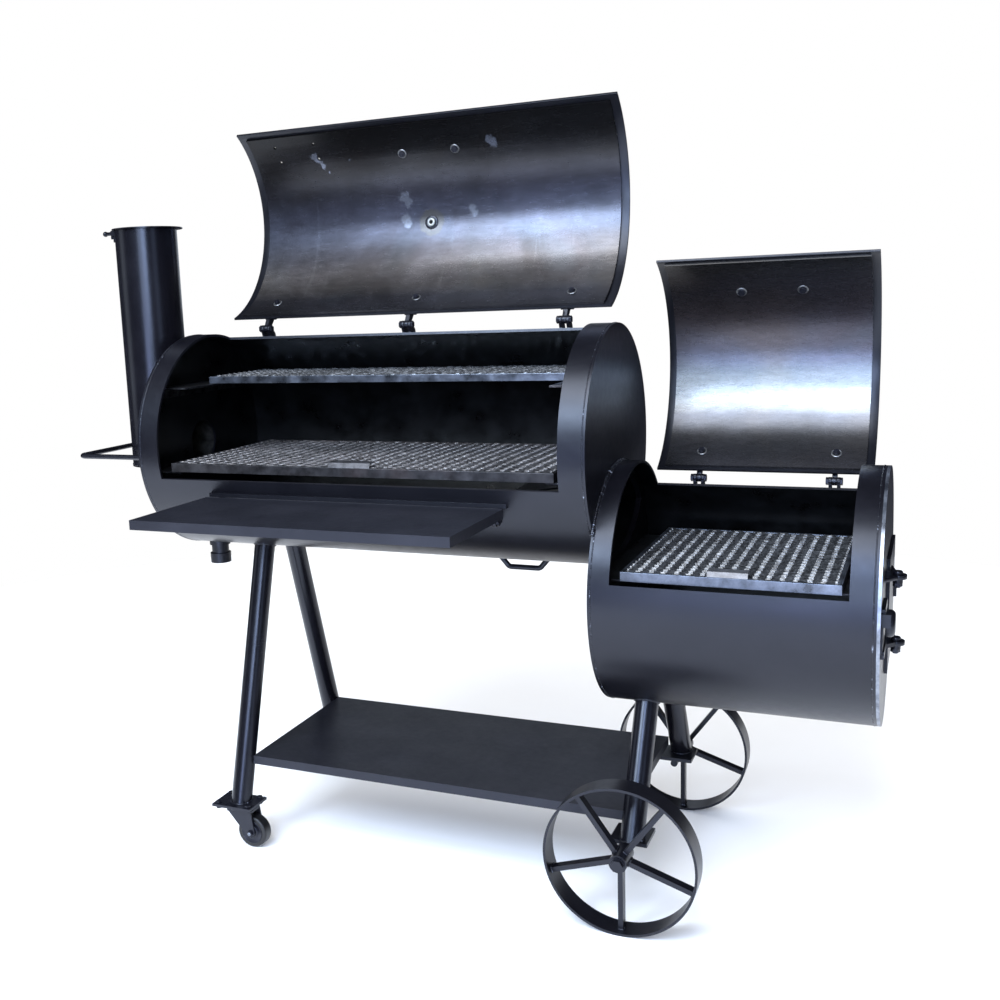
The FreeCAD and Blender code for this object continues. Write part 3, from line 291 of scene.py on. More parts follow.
def metal(name, base, light, rough, scale, rust=0.0, metallic=0.85):
    """Plain worked metal, mottled, with optional rust in the hollows."""
    material, tree, shader = new_material(name)
    cloud = noise(tree, scale, Detail=6.0, Roughness=0.65)
    broad = noise(tree, 5.0, Detail=4.0, Roughness=0.6)
    fine = noise(tree, 700.0, Detail=3.0)
    mottle = ramp(tree, cloud.outputs["Fac"], [(0.35, 0.0), (0.68, 1.0)])
    colour = blend(tree, mottle, base, light)
    shade = ramp(tree, broad.outputs["Fac"], [(0.34, 0.6), (0.66, 1.0)])
    colour = blend(tree, 1.0, colour, shade, "MULTIPLY")
    if rust:
        where = ramp(tree, broad.outputs["Fac"], [(0.50, 0.0), (0.66, rust)])
        colour = blend(tree, where, colour, RUST_COLOUR)
    tree.links.new(colour, shader.inputs["Base Color"])
    uneven = ramp(tree, cloud.outputs["Fac"], [(0.3, rough[0]), (0.7, rough[1])])
    tree.links.new(uneven, shader.inputs["Roughness"])
    shader.inputs["Metallic"].default_value = metallic
    bump(tree, shader, [(cloud.outputs["Fac"], 0.15, 0.0006), (fine.outputs["Fac"], 0.1, 0.0002)])
    return material


# how one stain's spots follow each other: share of a spot along X, turn about the door's axis, shrinking
STAIN_STEP, STAIN_TURN, STAIN_SHRINK = 0.8, 2.6, 0.14


def stain_places(clusters):
    """Spots (x, y, z, radius) of soot stains on the open main door, from their clusters."""
    low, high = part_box("main_door_panel")
    hub, places = DOOR_HUB["main_door"], []
    for share, turn, size, count in clusters:
        for i in range(count):
            x = low.x + share * (high.x - low.x) + i * STAIN_STEP * size * RNG.uniform(0.6, 1.2)
            point = hub + outward(turn - STAIN_TURN * i) * PANEL_INNER
            places.append((x, point.y, point.z, size * (1 - STAIN_SHRINK * i)))
    return places


def levels_of(node, shares):
    """Levels (z, tint) of a door's painted light, from shares of its height."""
    low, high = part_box(node)
    return [(low.z + share * (high.z - low.z), tint) for share, tint in shares]


# each stain is (share across the door, turn in degrees, radius in metres, count of spots)
DOOR_STAINS = ((0.18, -54, 0.010, 5), (0.42, -82, 0.013, 2), (0.42, -94, 0.011, 2), (0.61, -90, 0.010, 2),
               (0.68, -54, 0.010, 2), (0.28, -58, 0.003, 1))
# each level is (share of the door's height, tint); the levels paint light: a bright band of painted
# highlight, low on the main door and a little below the middle of the lid, with painted shade above and below
# it, darkest at the top
DOOR_PAINTED_LIGHT = [(0.0, 0.20), (0.08, 0.28), (0.14, (0.72, 0.68, 0.58)), (0.21, (1.0, 0.95, 0.83)),
               (0.30, (0.52, 0.52, 0.52)), (0.42, (0.36, 0.39, 0.46)), (0.56, (0.42, 0.46, 0.58)),
               (0.66, (0.26, 0.27, 0.31)), (0.78, 0.14), (1.0, 0.05)]
LID_PAINTED_LIGHT = [(0.0, 0.17), (0.14, 0.20), (0.24, (0.34, 0.36, 0.40)), (0.31, (0.95, 1.0, 0.93)),
              (0.37, (0.95, 1.0, 0.93)), (0.46, (0.55, 0.61, 0.62)), (0.58, (0.30, 0.29, 0.33)),
              (0.74, (0.19, 0.17, 0.19)), (1.0, 0.09)]
# dark ring round the probe fitting
HALO_R = 0.032

PAINT = paint("black_paint")
PAINT_SHELF = paint("shelf_paint", base=(0.008, 0.008, 0.0115), rough=(0.42, 0.55), peel=0.16, scuff=0.25)
PAINT_STACK = paint("stack_paint", rough=(0.22, 0.28), peel=0.03, scuff=0.0)
RIM = paint("rim_paint", base=(0.0035, 0.0035, 0.005), peel=0.12, scuff=0.8, wear_and_glint=(0.06, 0.062, 0.07))
CASTER = paint("caster_steel", base=(0.006, 0.006, 0.009), rough=(0.22, 0.36), peel=0.12, scuff=0.9,
               wear_and_glint=(0.10, 0.11, 0.14))
# weld beads: black paint with many bright bluish scuffs, bare-metal wear that is also a painted highlight
# along the seams
BEAD = paint("weld_paint", base=(0.006, 0.006, 0.008), rough=(0.22, 0.34), peel=0.2, scuff=0.9,
             wear_and_glint=(0.26, 0.29, 0.36), marks_at=0.585)
# insides of the main door and the lid: steel with painted light by height (a band of painted highlight and
# painted shade)
DOOR = seasoned("door_steel", (0.125, 0.122, 0.128), (0.22, 0.22, 0.24), (0.23, 0.29), 0.12,
                levels_of("main_door_panel", DOOR_PAINTED_LIGHT), stain_places(DOOR_STAINS),
                [(*mid("thermometer_bung"), HALO_R)])
LID = seasoned("lid_steel", (0.23, 0.23, 0.235), (0.31, 0.315, 0.33), (0.25, 0.30), 0.14,
               levels_of("firebox_lid_panel", LID_PAINTED_LIGHT))
SOOT = metal("soot", (0.0008, 0.0008, 0.001), (0.004, 0.0045, 0.0055), (0.24, 0.46), 16.0, metallic=0.0)
SOOT.node_tree.nodes["Principled BSDF"].inputs["Specular IOR Level"].default_value = 0.24
RAW = metal("raw_steel", (0.075, 0.071, 0.075), (0.29, 0.285, 0.30), (0.24, 0.40), 90.0, rust=0.10)
BRIGHT = metal("bright_mesh", (0.07, 0.07, 0.075), (0.30, 0.31, 0.33), (0.18, 0.34), 90.0)
BRIGHTER = metal("silver_mesh", (0.12, 0.12, 0.125), (0.46, 0.48, 0.52), (0.20, 0.34), 90.0)
FRAME_STEEL = metal("grate_frame_steel", (0.045, 0.043, 0.045), (0.11, 0.105, 0.11), (0.34, 0.5), 30.0,
                    rust=0.28)
BRIGHT_FRAME = metal("bright_frame_steel", (0.06, 0.066, 0.078), (0.22, 0.245, 0.30), (0.24, 0.40), 24.0)
RAIL = metal("rail_steel", (0.010, 0.010, 0.012), (0.10, 0.10, 0.105), (0.26, 0.44), 60.0, rust=0.1)
PIPE_SOOT = metal("pipe_soot", (0.03, 0.029, 0.027), (0.10, 0.097, 0.09), (0.4, 0.6), 40.0)
ZINC = metal("zinc", (0.20, 0.20, 0.20), (0.42, 0.42, 0.43), (0.3, 0.45), 120.0)
RUBBER = metal("rubber", (0.004, 0.004, 0.005), (0.010, 0.010, 0.012), (0.34, 0.5), 50.0, metallic=0.0)
GRIP = metal("grip_steel", (0.10, 0.10, 0.11), (0.22, 0.22, 0.24), (0.3, 0.45), 60.0)
PLATE_RIM = metal("bare_plate_rim", (0.10, 0.11, 0.135), (0.46, 0.50, 0.58), (0.24, 0.40), 24.0)
PALE_NUT = metal("pale_nut", (0.30, 0.31, 0.30), (0.50, 0.52, 0.50), (0.30, 0.45), 90.0, metallic=0.55)

BOLTS = ("hinge_pins", "pivot_bolts", "main_door_bolts", "firebox_lid_bolts", "caster_plate_bolts")
LEGS = ("leg_left_front", "leg_left_rear", "leg_right_front", "leg_right_rear")
STACK_PARTS = ("smokestack", "stack_base", "stack_stub", "stack_cap")
FINISH = {"front_shelf": PAINT_SHELF, "bottom_shelf": PAINT_SHELF, "throat_baffle": SOOT, "fire_grate": SOOT,
          "grate_rails": RAIL, "main_door_panel": DOOR, "firebox_lid_panel": LID, "main_door_rim": RIM,
          "firebox_lid_rim": RIM}
FINISH.update({node: PAINT_STACK for node in LEGS + STACK_PARTS})
FINISH.update({node: CASTER for node in BOLTS})


def finish_of(node):
    """Material of a CAD node."""
    if node in FINISH:
        return FINISH[node]
    if node.startswith("caster_"):
        return RUBBER if "wheel" in node else CASTER
    if node.endswith("_frame") and "grate" in node:
        return FRAME_STEEL
    return RAW if node.endswith("_mesh") else PAINT


for node in NODES:
    NODES[node].data.materials.clear()
    NODES[node].data.materials.append(finish_of(node))


def second_material(node, material, choose):
    """Gives the node's faces that choose(centre, normal) picks a second material."""
    mesh = NODES[node].data
    mesh.materials.append(material)
    index = len(mesh.materials) - 1
    for polygon in mesh.polygons:
        if choose(polygon.center, polygon.normal):
            polygon.material_index = index


def away_from(axis, centre, normal):
    """How far a face looks away from an axis along X: its normal times its reach."""
    return normal.y * (centre.y - axis.y) + normal.z * (centre.z - axis.z)


def inward(axis):
    """Chooses the faces that look at a barrel's axis from its wall."""
    def choose(centre, normal):
        out = Vector((0, centre.y - axis.y, centre.z - axis.z))
        return out.length < BARREL_R - 0.001 and normal.dot(out) < -0.2 * out.length
    return choose


# soot on the insides of both barrels and their ends, and in the stub; a bare rim on the heat shield
second_material("chamber_shell", SOOT, inward(CHAMBER))
second_material("firebox_shell", SOOT, inward(FIREBOX))
for barrel in ("chamber", "firebox"):
    second_material(barrel + "_end_left", SOOT, lambda c, n: n.x > 0.5)
    second_material(barrel + "_end_right", SOOT, lambda c, n: n.x < -0.5)
second_material("firebox_heat_shield", PLATE_RIM, lambda c, n: abs(n.x) < 0.4)
second_material("stack_stub", PIPE_SOOT, lambda c, n: away_from(mid("stack_stub"), c, n) < -0.01)


# ------------------------------------------------------------------ mesh tools
def piece(name, verts, faces, material, body, smooth=True):
    """A mesh object that rides on a body."""
    mesh = bpy.data.meshes.new(name)
    mesh.from_pydata([tuple(v) for v in verts], [], [tuple(int(i) for i in f) for f in faces])
    mesh.validate()
    mesh.update()
    if smooth:
        mesh.polygons.foreach_set("use_smooth", [True] * len(mesh.polygons))
    made = bpy.data.objects.new(name, mesh)
    bpy.context.scene.collection.objects.link(made)
    mesh.materials.append(material)
    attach(made, body)
    return made


class Build:
    """Collects closed sweeps into one mesh."""

    def __init__(self):
        self.verts, self.faces = [], []

    def sweep(self, rings, closed=False):
        """Rings of equal length become a tube with flat ends."""
        start, count = len(self.verts), len(rings[0])
        for ring in rings:
            self.verts.extend(ring)
        spans = len(rings) if closed else len(rings) - 1
        for i in range(spans):
            a, b = start + i * count, start + (i + 1) % len(rings) * count
            for j in range(count):
                k = (j + 1) % count
                self.faces.append((a + j, a + k, b + k, b + j))
        if not closed:
            self.faces.append(tuple(start + j for j in reversed(range(count))))
            self.faces.append(tuple(start + (len(rings) - 1) * count + j for j in range(count)))

    def make(self, name, material, body, slot, smooth=True):
        """The collected mesh as one piece."""
        return piece(name, self.verts, self.faces, material, body, smooth)


# strands of the expanded metal: width, thickness and tilt in degrees; gap to the frame and drop below it;
# and where a strand bends, as shares of one diamond's length
STRAND_W, STRAND_T, STRAND_TILT = 0.0044, 0.0026, 48.0
MESH_INSET, MESH_DROP = 0.009, 0.0016
KNOTS = (0.0, 0.045, 0.09, 0.25, 0.41, 0.455)


def diamond(phase):
    """Height of a strand's zigzag at a share of its length, from -1 to 1, with softened bends."""
    near = min(phase, 1 - phase)
    wave = max(-1.0, min(1.0, (0.25 - near) / 0.17))
    return math.sin(wave * math.pi / 2) * 0.35 + wave * 0.65


def expanded(name, node, columns, rows, material, body):
    """Raised expanded metal inside the frame: tilted strands, joined edge to edge at their bonds."""
    low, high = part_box(node)
    x0, y0 = low.x + MESH_INSET, low.y + MESH_INSET
    step_x = (high.x - low.x - 2 * MESH_INSET) / columns
    step_y = (high.y - low.y - 2 * MESH_INSET) / rows
    angle = math.radians(STRAND_TILT)
    across, rise = STRAND_W / 2 * math.cos(angle), STRAND_W / 2 * math.sin(angle)
    u = Vector((0, across, rise))
    v = Vector((0, -math.sin(angle), math.cos(angle))) * STRAND_T / 2
    top, swing = high.z - MESH_DROP, step_y / 4 - across * 0.92
    built = Build()
    stops = [k + half for half in (0, 0.5) for k in KNOTS]
    for row in range(2 * rows):
        centre = y0 + step_y * (row + 0.5) / 2
        rings = []
        for column in range(columns):
            for stop in stops + ([1.0] if column == columns - 1 else []):
                wave = diamond((stop + 0.5 * (row % 2)) % 1.0)
                point = Vector((x0 + step_x * (column + stop), centre + swing * wave, top - rise * wave))
                point.z += RNG.uniform(-0.00012, 0.00012)
                rings.append([point + u + v, point - u + v, point - u - v, point + u - v])
        built.sweep(rings)
    made = built.make(name, material, body, "raw_steel", smooth=False)
    soften(made, 0.0006, 2, 40)
    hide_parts(node)


def soften(made, width, segments=2, angle=35):
    """Rounds the piece's sharp edges."""
    bevel = made.modifiers.new("edge", "BEVEL")
    bevel.width, bevel.segments, bevel.limit_method = width, segments, "ANGLE"
    bevel.angle_limit = math.radians(angle)
    bevel.use_clamp_overlap = True


def box_rings(x, y, z):
    """Two rings of a box between pairs of x, y and z values."""
    corners = ((y[0], z[0]), (y[1], z[0]), (y[1], z[1]), (y[0], z[1]))
    return plate_rings(x, corners)


def plate_rings(x, outline):
    """Rings that sweep a YZ outline between x values."""
    return [[Vector((px, py, pz)) for py, pz in outline] for px in x]


# angle iron: wall and flange, cross bars' half thickness, and how far they hang below the frame's top
WALL, FLANGE, BAR = 0.003, 0.0095, 0.002
CROSS_BAR, LONG_BAR, BAR_TOP, LONG_BAR_SHARE = 0.016, 0.0135, 0.0055, 0.13


def grate_frame(name, frame_node, mesh_node, grip, body, material):
    """Angle-iron frame with a flange round the mesh, cross bars below it and a bent grip at the front."""
    low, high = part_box(mesh_node)
    bottom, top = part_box(frame_node)[0].z, high.z
    built = Build()
    for outer, inner, z_low in ((0, WALL, bottom), (WALL, FLANGE, top - WALL)):
        rings = []
        for x_side, y_side in ((0, 0), (1, 0), (1, 1), (0, 1)):
            corner = []
            for inset in (outer, inner):
                x = high.x - inset if x_side else low.x + inset
                y = high.y - inset if y_side else low.y + inset
                corner.append((x, y))
            (ax, ay), (bx, by) = corner
            rings.append([Vector((ax, ay, z_low)), Vector((ax, ay, top)), Vector((bx, by, top)),
                          Vector((bx, by, z_low))])
        built.sweep(rings, closed=True)
    for third in (1, 2):
        x = low.x + (high.x - low.x) * third / 3
        built.sweep(box_rings((x - BAR, x + BAR), (low.y + WALL, high.y - WALL),
                              (top - CROSS_BAR, top - BAR_TOP)))
    margin = LONG_BAR_SHARE * (high.y - low.y)
    for y in (low.y + margin, high.y - margin):
        built.sweep(box_rings((low.x + WALL, high.x - WALL), (y - BAR, y + BAR),
                              (top - LONG_BAR, top - BAR_TOP)))
    made = built.make(name, material, body, "raw_steel", smooth=False)
    soften(made, 0.0008)
    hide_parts(frame_node)
    if grip:
        middle, y = (low.x + high.x) / 2, low.y + 0.0015
        section = ((0, 0.0002), (0.0035, 0.0002), (0.0095, 0.0068), (0.029, 0.0088), (0.0285, 0.0116),
                   (0.008, 0.0098))
        plate = Build()
        outline = [(y + dy, top + dz) for dy, dz in section]
        plate.sweep(plate_rings((middle - grip / 2, middle + grip / 2), outline))
        handle = plate.make(name + "_grip", GRIP, body, "raw_steel", smooth=False)
        soften(handle, 0.0007)


LOWER_GRIP, FIREBOX_GRIP = 0.100, 0.076
for grate, grip, steel in (("lower_grate", LOWER_GRIP, FRAME_STEEL), ("upper_grate", 0, BRIGHT_FRAME),
                           ("firebox_grate", FIREBOX_GRIP, BRIGHT_FRAME)):
    grate_frame(grate + "_angle_frame", grate + "_frame", grate + "_mesh", grip, grate, steel)
# counts of diamonds along X and along Y
for grate, columns, rows, steel in (("lower_grate", 17, 18, RAW), ("upper_grate", 17, 10, BRIGHTER),
                                    ("firebox_grate", 8, 19, BRIGHT)):
    expanded(grate + "_expanded", grate + "_mesh", columns, rows, steel, grate)

# ------------------------------------------------------------------ edges of the CAD nodes
EDGES = {"front_shelf": 0.0010, "bottom_shelf": 0.0010, "end_door": 0.0010, "damper_guides": 0.0005,
         "chamber_end_right": 0.0012, "chamber_end_left": 0.0012, "firebox_end_left": 0.0010,
         "firebox_end_right": 0.0010, "firebox_heat_shield": 0.0010}
for node, size in EDGES.items():
    soften(NODES[node], size, 2, 50)

# ------------------------------------------------------------------ welds
BEAD_PITCH, RIPPLE, UNEVEN = 0.0045, 0.13, 0.06
# radii of the beads
SEAM, FIREBOX_SEAM, SADDLE_BEAD = 0.0015, 0.0016, 0.0022
STUB_BEAD, BASE_BEAD, HANDLE_BEAD = 0.0024, 0.0012, 0.0016
LEG_BEAD, FOOT_BEAD, SHELF_BEAD, EAR_BEAD, SPOKE_BEAD = 0.0026, 0.0022, 0.0022, 0.0020, 0.0017
# how far beads stand off what they join
PROUD, GAP, SNUG = 0.0006, 0.0004, 0.0002


def bead(name, path, axis, radius, body="frame", closed=True):
    """Rippled weld bead along a path; axis is never along the path."""
    points = [Vector(p) for p in path] + ([Vector(path[0])] if closed else [])
    marks = [0.0]
    for a, b in zip(points, points[1:]):
        marks.append(marks[-1] + (b - a).length)
    count = max(9, int(marks[-1] / BEAD_PITCH * 3))
    centres, span = [], 0
    for i in range(count if closed else count + 1):
        at = marks[-1] * i / count
        while span < len(points) - 2 and at > marks[span + 1]:
            span += 1
        share = (at - marks[span]) / max(1e-9, marks[span + 1] - marks[span])
        centres.append(points[span].lerp(points[span + 1], share))
    rings = []
    for i, centre in enumerate(centres):
        ahead_point = centres[(i + 1) % count] if closed else centres[min(i + 1, count)]
        behind_point = centres[i - 1] if closed or i else centre
        along = (ahead_point - behind_point).normalized()
        side = along.cross(axis).normalized()
        rise = side.cross(along)
        swell = radius * (1 + RIPPLE * math.cos(2 * math.pi * i / 3) + RNG.uniform(-UNEVEN, UNEVEN))
        rings.append([centre + (side * math.cos(a) + rise * math.sin(a)) * swell
                      for a in (k * math.pi / 4 for k in range(8))])
    built = Build()
    built.sweep(rings, closed)
    built.make(name, BEAD, body, "black_paint")


def ring(x, centre, radius, start=0.0, end=360.0, count=96):
    """Points of a circle, or an arc between two turns from the top, in a YZ plane."""
    turns = [math.radians(start + (end - start) * i / count) for i in range(count + (end - start < 360.0))]
    return [Vector((x, centre.y + radius * math.sin(t), centre.z + radius * math.cos(t))) for t in turns]


# right face of the chamber, and the turn from a barrel's top or bottom at which the two barrels cross
RIGHT_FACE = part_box("chamber_end_right")[1].x
MEETING = math.degrees(math.acos((CHAMBER.z - FIREBOX.z) / 2 / BARREL_R))

# seams between the barrels and their ends
SEAMS = (("chamber", "right", CHAMBER, SEAM), ("chamber", "left", CHAMBER, SEAM),
         ("firebox", "left", FIREBOX, FIREBOX_SEAM), ("firebox", "right", FIREBOX, SEAM))
for barrel, side, centre, radius in SEAMS:
    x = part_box(barrel + "_end_" + side)[0 if side == "right" else 1].x
    bead("weld_%s_%s_seam" % (barrel, side), ring(x, centre, BARREL_R - PROUD), X_AXIS, radius)

# where the two barrels cross each other, with a knot at both ends
CROSSING_STEP, CROSSING_BEAD = 0.0016, 0.0032
KNOT_STEP, KNOT_BEAD, KNOT_TURN = 0.002, 0.0048, 2.2
bead("weld_firebox_to_chamber",
     ring(RIGHT_FACE + CROSSING_STEP, FIREBOX, BARREL_R + PROUD, -MEETING, MEETING),
     X_AXIS, CROSSING_BEAD, closed=False)
bead("weld_chamber_to_firebox",
     ring(RIGHT_FACE - CROSSING_STEP, CHAMBER, BARREL_R + PROUD, 180 - MEETING, 180 + MEETING),
     X_AXIS, CROSSING_BEAD, closed=False)
for name, turn in (("weld_knot_front", -MEETING), ("weld_knot_rear", MEETING)):
    path = ring(RIGHT_FACE + KNOT_STEP, FIREBOX, BARREL_R + KNOT_STEP, turn - KNOT_TURN, turn + KNOT_TURN, 8)
    bead(name, path, X_AXIS, KNOT_BEAD, closed=False)

# stack, stub, drain and handle welds
STACK, OUTER_LEFT = mid("smokestack"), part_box("chamber_end_left")[0].x
STACK_R, STUB_R = half_size("smokestack", "y"), half_size("stack_stub", "y")
STUB, BASE_TOP = mid("stack_stub"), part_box("stack_base")[1].z
CIRCLE = np.linspace(0, 2 * math.pi, 49)[:-1]
bead("weld_stub_plate", ring(OUTER_LEFT - 0.001, STUB, STUB_R + PROUD, count=48), X_AXIS, STUB_BEAD)
saddle = []
for point in ring(0, STUB, STUB_R + GAP, count=48):
    x = STACK.x + math.sqrt(STACK_R ** 2 - (point.y - STACK.y) ** 2) + PROUD
    saddle.append(Vector((x, point.y, point.z)))
bead("weld_stub_stack", saddle, X_AXIS, SADDLE_BEAD)
foot, foot_r = Vector((STACK.x, STACK.y, BASE_TOP + GAP)), STACK_R + SNUG
path = [foot + foot_r * Vector((math.cos(a), math.sin(a), 0)) for a in CIRCLE]
bead("weld_stack_base", path, Z_AXIS, BASE_BEAD)
PIPE, PIPE_R = mid("drain_pipe"), half_size("drain_pipe", "x")
saddle = []
for a in CIRCLE:
    y = PIPE.y + (PIPE_R + GAP) * math.sin(a)
    z = CHAMBER.z - math.sqrt(BARREL_R ** 2 - (y - CHAMBER.y) ** 2) - PROUD
    saddle.append(Vector((PIPE.x + (PIPE_R + GAP) * math.cos(a), y, z)))
bead("weld_drain", saddle, Z_AXIS, SADDLE_BEAD)
HANDLE, HANDLE_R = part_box("end_handle"), half_size("end_handle", "z")
for name, y in (("weld_handle_front", HANDLE[0].y + HANDLE_R), ("weld_handle_rear", HANDLE[1].y - HANDLE_R)):
    foot = Vector((0, y, HANDLE[0].z + HANDLE_R))
    bead(name, ring(OUTER_LEFT - 0.0008, foot, HANDLE_R + GAP, count=24), X_AXIS, HANDLE_BEAD)


def leg_axis(node):
    """Middle of a leg's foot, and the direction up its tube, from the CAD mesh."""
    mesh, floor_z = NODES[node].data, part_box(node)[0].z
    lowest = [v.co for v in mesh.vertices if v.co.z < floor_z + 0.0005]
    foot = sum(lowest, Vector()) / len(lowest)
    foot.x = mid(node).x
    low_y, high_y = min(v.y for v in lowest), max(v.y for v in lowest)
    foot.y = (low_y + high_y) / 2
    sides = sorted((p for p in mesh.polygons if abs(p.normal.z) < 0.7), key=lambda p: -p.area)
    first = sides[0].normal
    second = next(p.normal for p in sides if p.normal.cross(first).length > 0.6)
    along = first.cross(second).normalized()
    return foot, along if along.z > 0 else -along


LEG_AXES = {node: leg_axis(node) for node in LEGS}
LEG_CIRCLE = np.linspace(0, 2 * math.pi, 41)[:-1]
for node, (foot, along) in LEG_AXES.items():
    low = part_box(node)[0]
    radius = half_size(node, "x") + SNUG
    out = X_AXIS.cross(along)
    barrel = CHAMBER if node.startswith("leg_left") else FIREBOX
    top_path, foot_path = [], []
    for a in LEG_CIRCLE:
        point = foot + radius * (math.cos(a) * X_AXIS + math.sin(a) * out)
        dy, dz = point.y - barrel.y, point.z - barrel.z
        b = dy * along.y + dz * along.z
        c = dy * dy + dz * dz - (BARREL_R + GAP) ** 2
        square = along.y ** 2 + along.z ** 2
        top_path.append(point + along * ((-b - math.sqrt(b * b - square * c)) / square))
        foot_path.append(point + along * ((low.z + PROUD - point.z) / along.z))
    bead("weld_top_" + node, top_path, along, LEG_BEAD)
    bead("weld_foot_" + node, foot_path, Z_AXIS, FOOT_BEAD)

# the bottom shelf's ends, where the legs pass them
SHELF_LOW, SHELF_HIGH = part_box("bottom_shelf")
for node, (foot, along) in LEG_AXES.items():
    path = []
    for z in np.linspace(SHELF_LOW.z + 0.001, SHELF_HIGH.z - 0.001, 5):
        point = foot + along * ((z - foot.z) / along.z)
        path.append(Vector((SHELF_LOW.x if "left" in node else SHELF_HIGH.x, point.y, z)))
    if SHELF_LOW.y < path[2].y < SHELF_HIGH.y:
        bead("weld_shelf_" + node, path, X_AXIS, SHELF_BEAD, closed=False)

# pairs of ears of the hinges: a pair's middle from the node's end, and a bead's place from the pair's middle
EAR_MIDDLE, EAR_FACE = 0.0115, 0.0123
for body, centre, count in (("main_door", CHAMBER, 3), ("firebox_lid", FIREBOX, 2)):
    low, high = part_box(body + "_hinge_lugs")
    ends = [math.degrees(math.asin((y - centre.y) / BARREL_R)) for y in (low.y + 0.004, high.y - 0.002)]
    for i in range(count):
        x = low.x + EAR_MIDDLE + (high.x - low.x - 2 * EAR_MIDDLE) * i / (count - 1)
        for side, letter in ((-1, "l"), (1, "r")):
            path = ring(x + side * EAR_FACE, centre, BARREL_R + PROUD, ends[0], ends[1], 12)
            bead("weld_%s_%d_%s" % (body[:5].strip("_"), i, letter), path, X_AXIS, EAR_BEAD, closed=False)

# ------------------------------------------------------------------ wheels
# spokes' welds: count, half width and half depth of a spoke, and where they meet the rim and the hub
SPOKES, SPOKE_X, SPOKE_Y = 5, 0.0050, 0.0100
RIM_WALL, HUB_R = 0.0056, 0.0186
for place in ("front", "rear"):
    node = "wagon_wheel_" + place
    centre = mid(node)
    for i in range(SPOKES):
        turn = math.radians(180 / SPOKES + 360 / SPOKES * i)
        spoke = Vector((math.sin(turn), 0, math.cos(turn)))
        across = Vector((math.cos(turn), 0, -math.sin(turn)))
        for where, reach in (("rim", half_size(node, "z") - RIM_WALL), ("hub", HUB_R)):
            path = []
            for cx, cy in ((-1, -1), (1, -1), (1, 1), (-1, 1)):
                path.append(centre + spoke * reach + across * SPOKE_X * cx + Vector((0, SPOKE_Y * cy, 0)))
            bead("weld_wheel_%s_%s_%d" % (place, where, i), path, spoke, SPOKE_BEAD, node)


def turned(centre, axis, profile, count):
    """Rings, one for each step of a turn about the axis; profile is (distance along axis, radius)."""
    u = axis.orthogonal().normalized()
    v = axis.cross(u)
    rings = []
    for k in range(count):
        a = 2 * math.pi * k / count
        out = u * math.cos(a) + v * math.sin(a)
        rings.append([centre + axis * along + out * radius for along, radius in profile])
    return rings


def lathe(built, centre, axis, profile, count=40):
    """Turned shape with flat ends."""
    built.sweep([list(points) for points in zip(*turned(centre, axis, profile, count))])


def turned_ring(built, centre, axis, section, count=56):
    """Turned shape with a hole: the section is closed."""
    built.sweep(turned(centre, axis, section, count), closed=True)


# wheel hubs: a bare ring over the hub's face
for place, side in (("front", -1), ("rear", 1)):
    wheel = "wagon_wheel_" + place
    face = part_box(wheel)[0 if side < 0 else 1].y
    built = Build()
    lathe(built, Vector((mid(wheel).x, face - side * GAP, mid(wheel).z)), Vector((0, side, 0)),
          [(0, 0.0125), (0.0006, 0.0135), (0.0012, 0.0125)])
    built.make("hub_face_" + place, PLATE_RIM, wheel, "black_paint")

# casters: bearing race under the plate, dished sides of the wheel, ends of the axle; (distance, radius)
RACE = [(0, 0.0225), (0.0008, 0.0248), (0.0030, 0.0258), (0.0042, 0.0246), (0.0048, 0.0240), (0.0056, 0.0246),
        (0.0078, 0.0256), (0.0088, 0.0244), (0.0090, 0.0225)]
RACE_X, RACE_DROP = 0.024, 0.0096
DISH = [(0, 0.0268), (0.0012, 0.0276), (0.0020, 0.0266), (0.0013, 0.0248), (0.0008, 0.0240)]
DISH_HUB = [(0, 0.0165), (0.0014, 0.0160), (0.0018, 0.0146)]
DISH_INSET = 0.002
AXLE_END = [(0, 0.0042), (0.0010, 0.0042), (0.0015, 0.0034)]
for place in ("front", "rear"):
    fork, wheel = "caster_fork_" + place, "caster_wheel_" + place
    fork_low, fork_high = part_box(fork)
    race = Build()
    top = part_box("caster_plates")[0].z
    seat = Vector((fork_low.x + RACE_X, (fork_low.y + fork_high.y) / 2, top - RACE_DROP))
    lathe(race, seat, Z_AXIS, RACE, 56)
    race.make("caster_race_" + place, CASTER, fork, "caster_steel")
    centre, half = mid(wheel), half_size(wheel, "y") - DISH_INSET
    dishes, caps = Build(), Build()
    for side, y in ((-1, fork_low.y), (1, fork_high.y)):
        axis = Vector((0, side, 0))
        lathe(dishes, centre + axis * (half - PROUD), axis, DISH, 56)
        lathe(dishes, centre + axis * (half - PROUD), axis, DISH_HUB, 48)
        lathe(caps, Vector((centre.x, y - side * GAP, centre.z)), axis, AXLE_END, 24)
    dishes.make("caster_dishes_" + place, CASTER, wheel, "caster_rubber")
    caps.make("caster_axle_ends_" + place, PLATE_RIM, fork, "zinc_hardware")

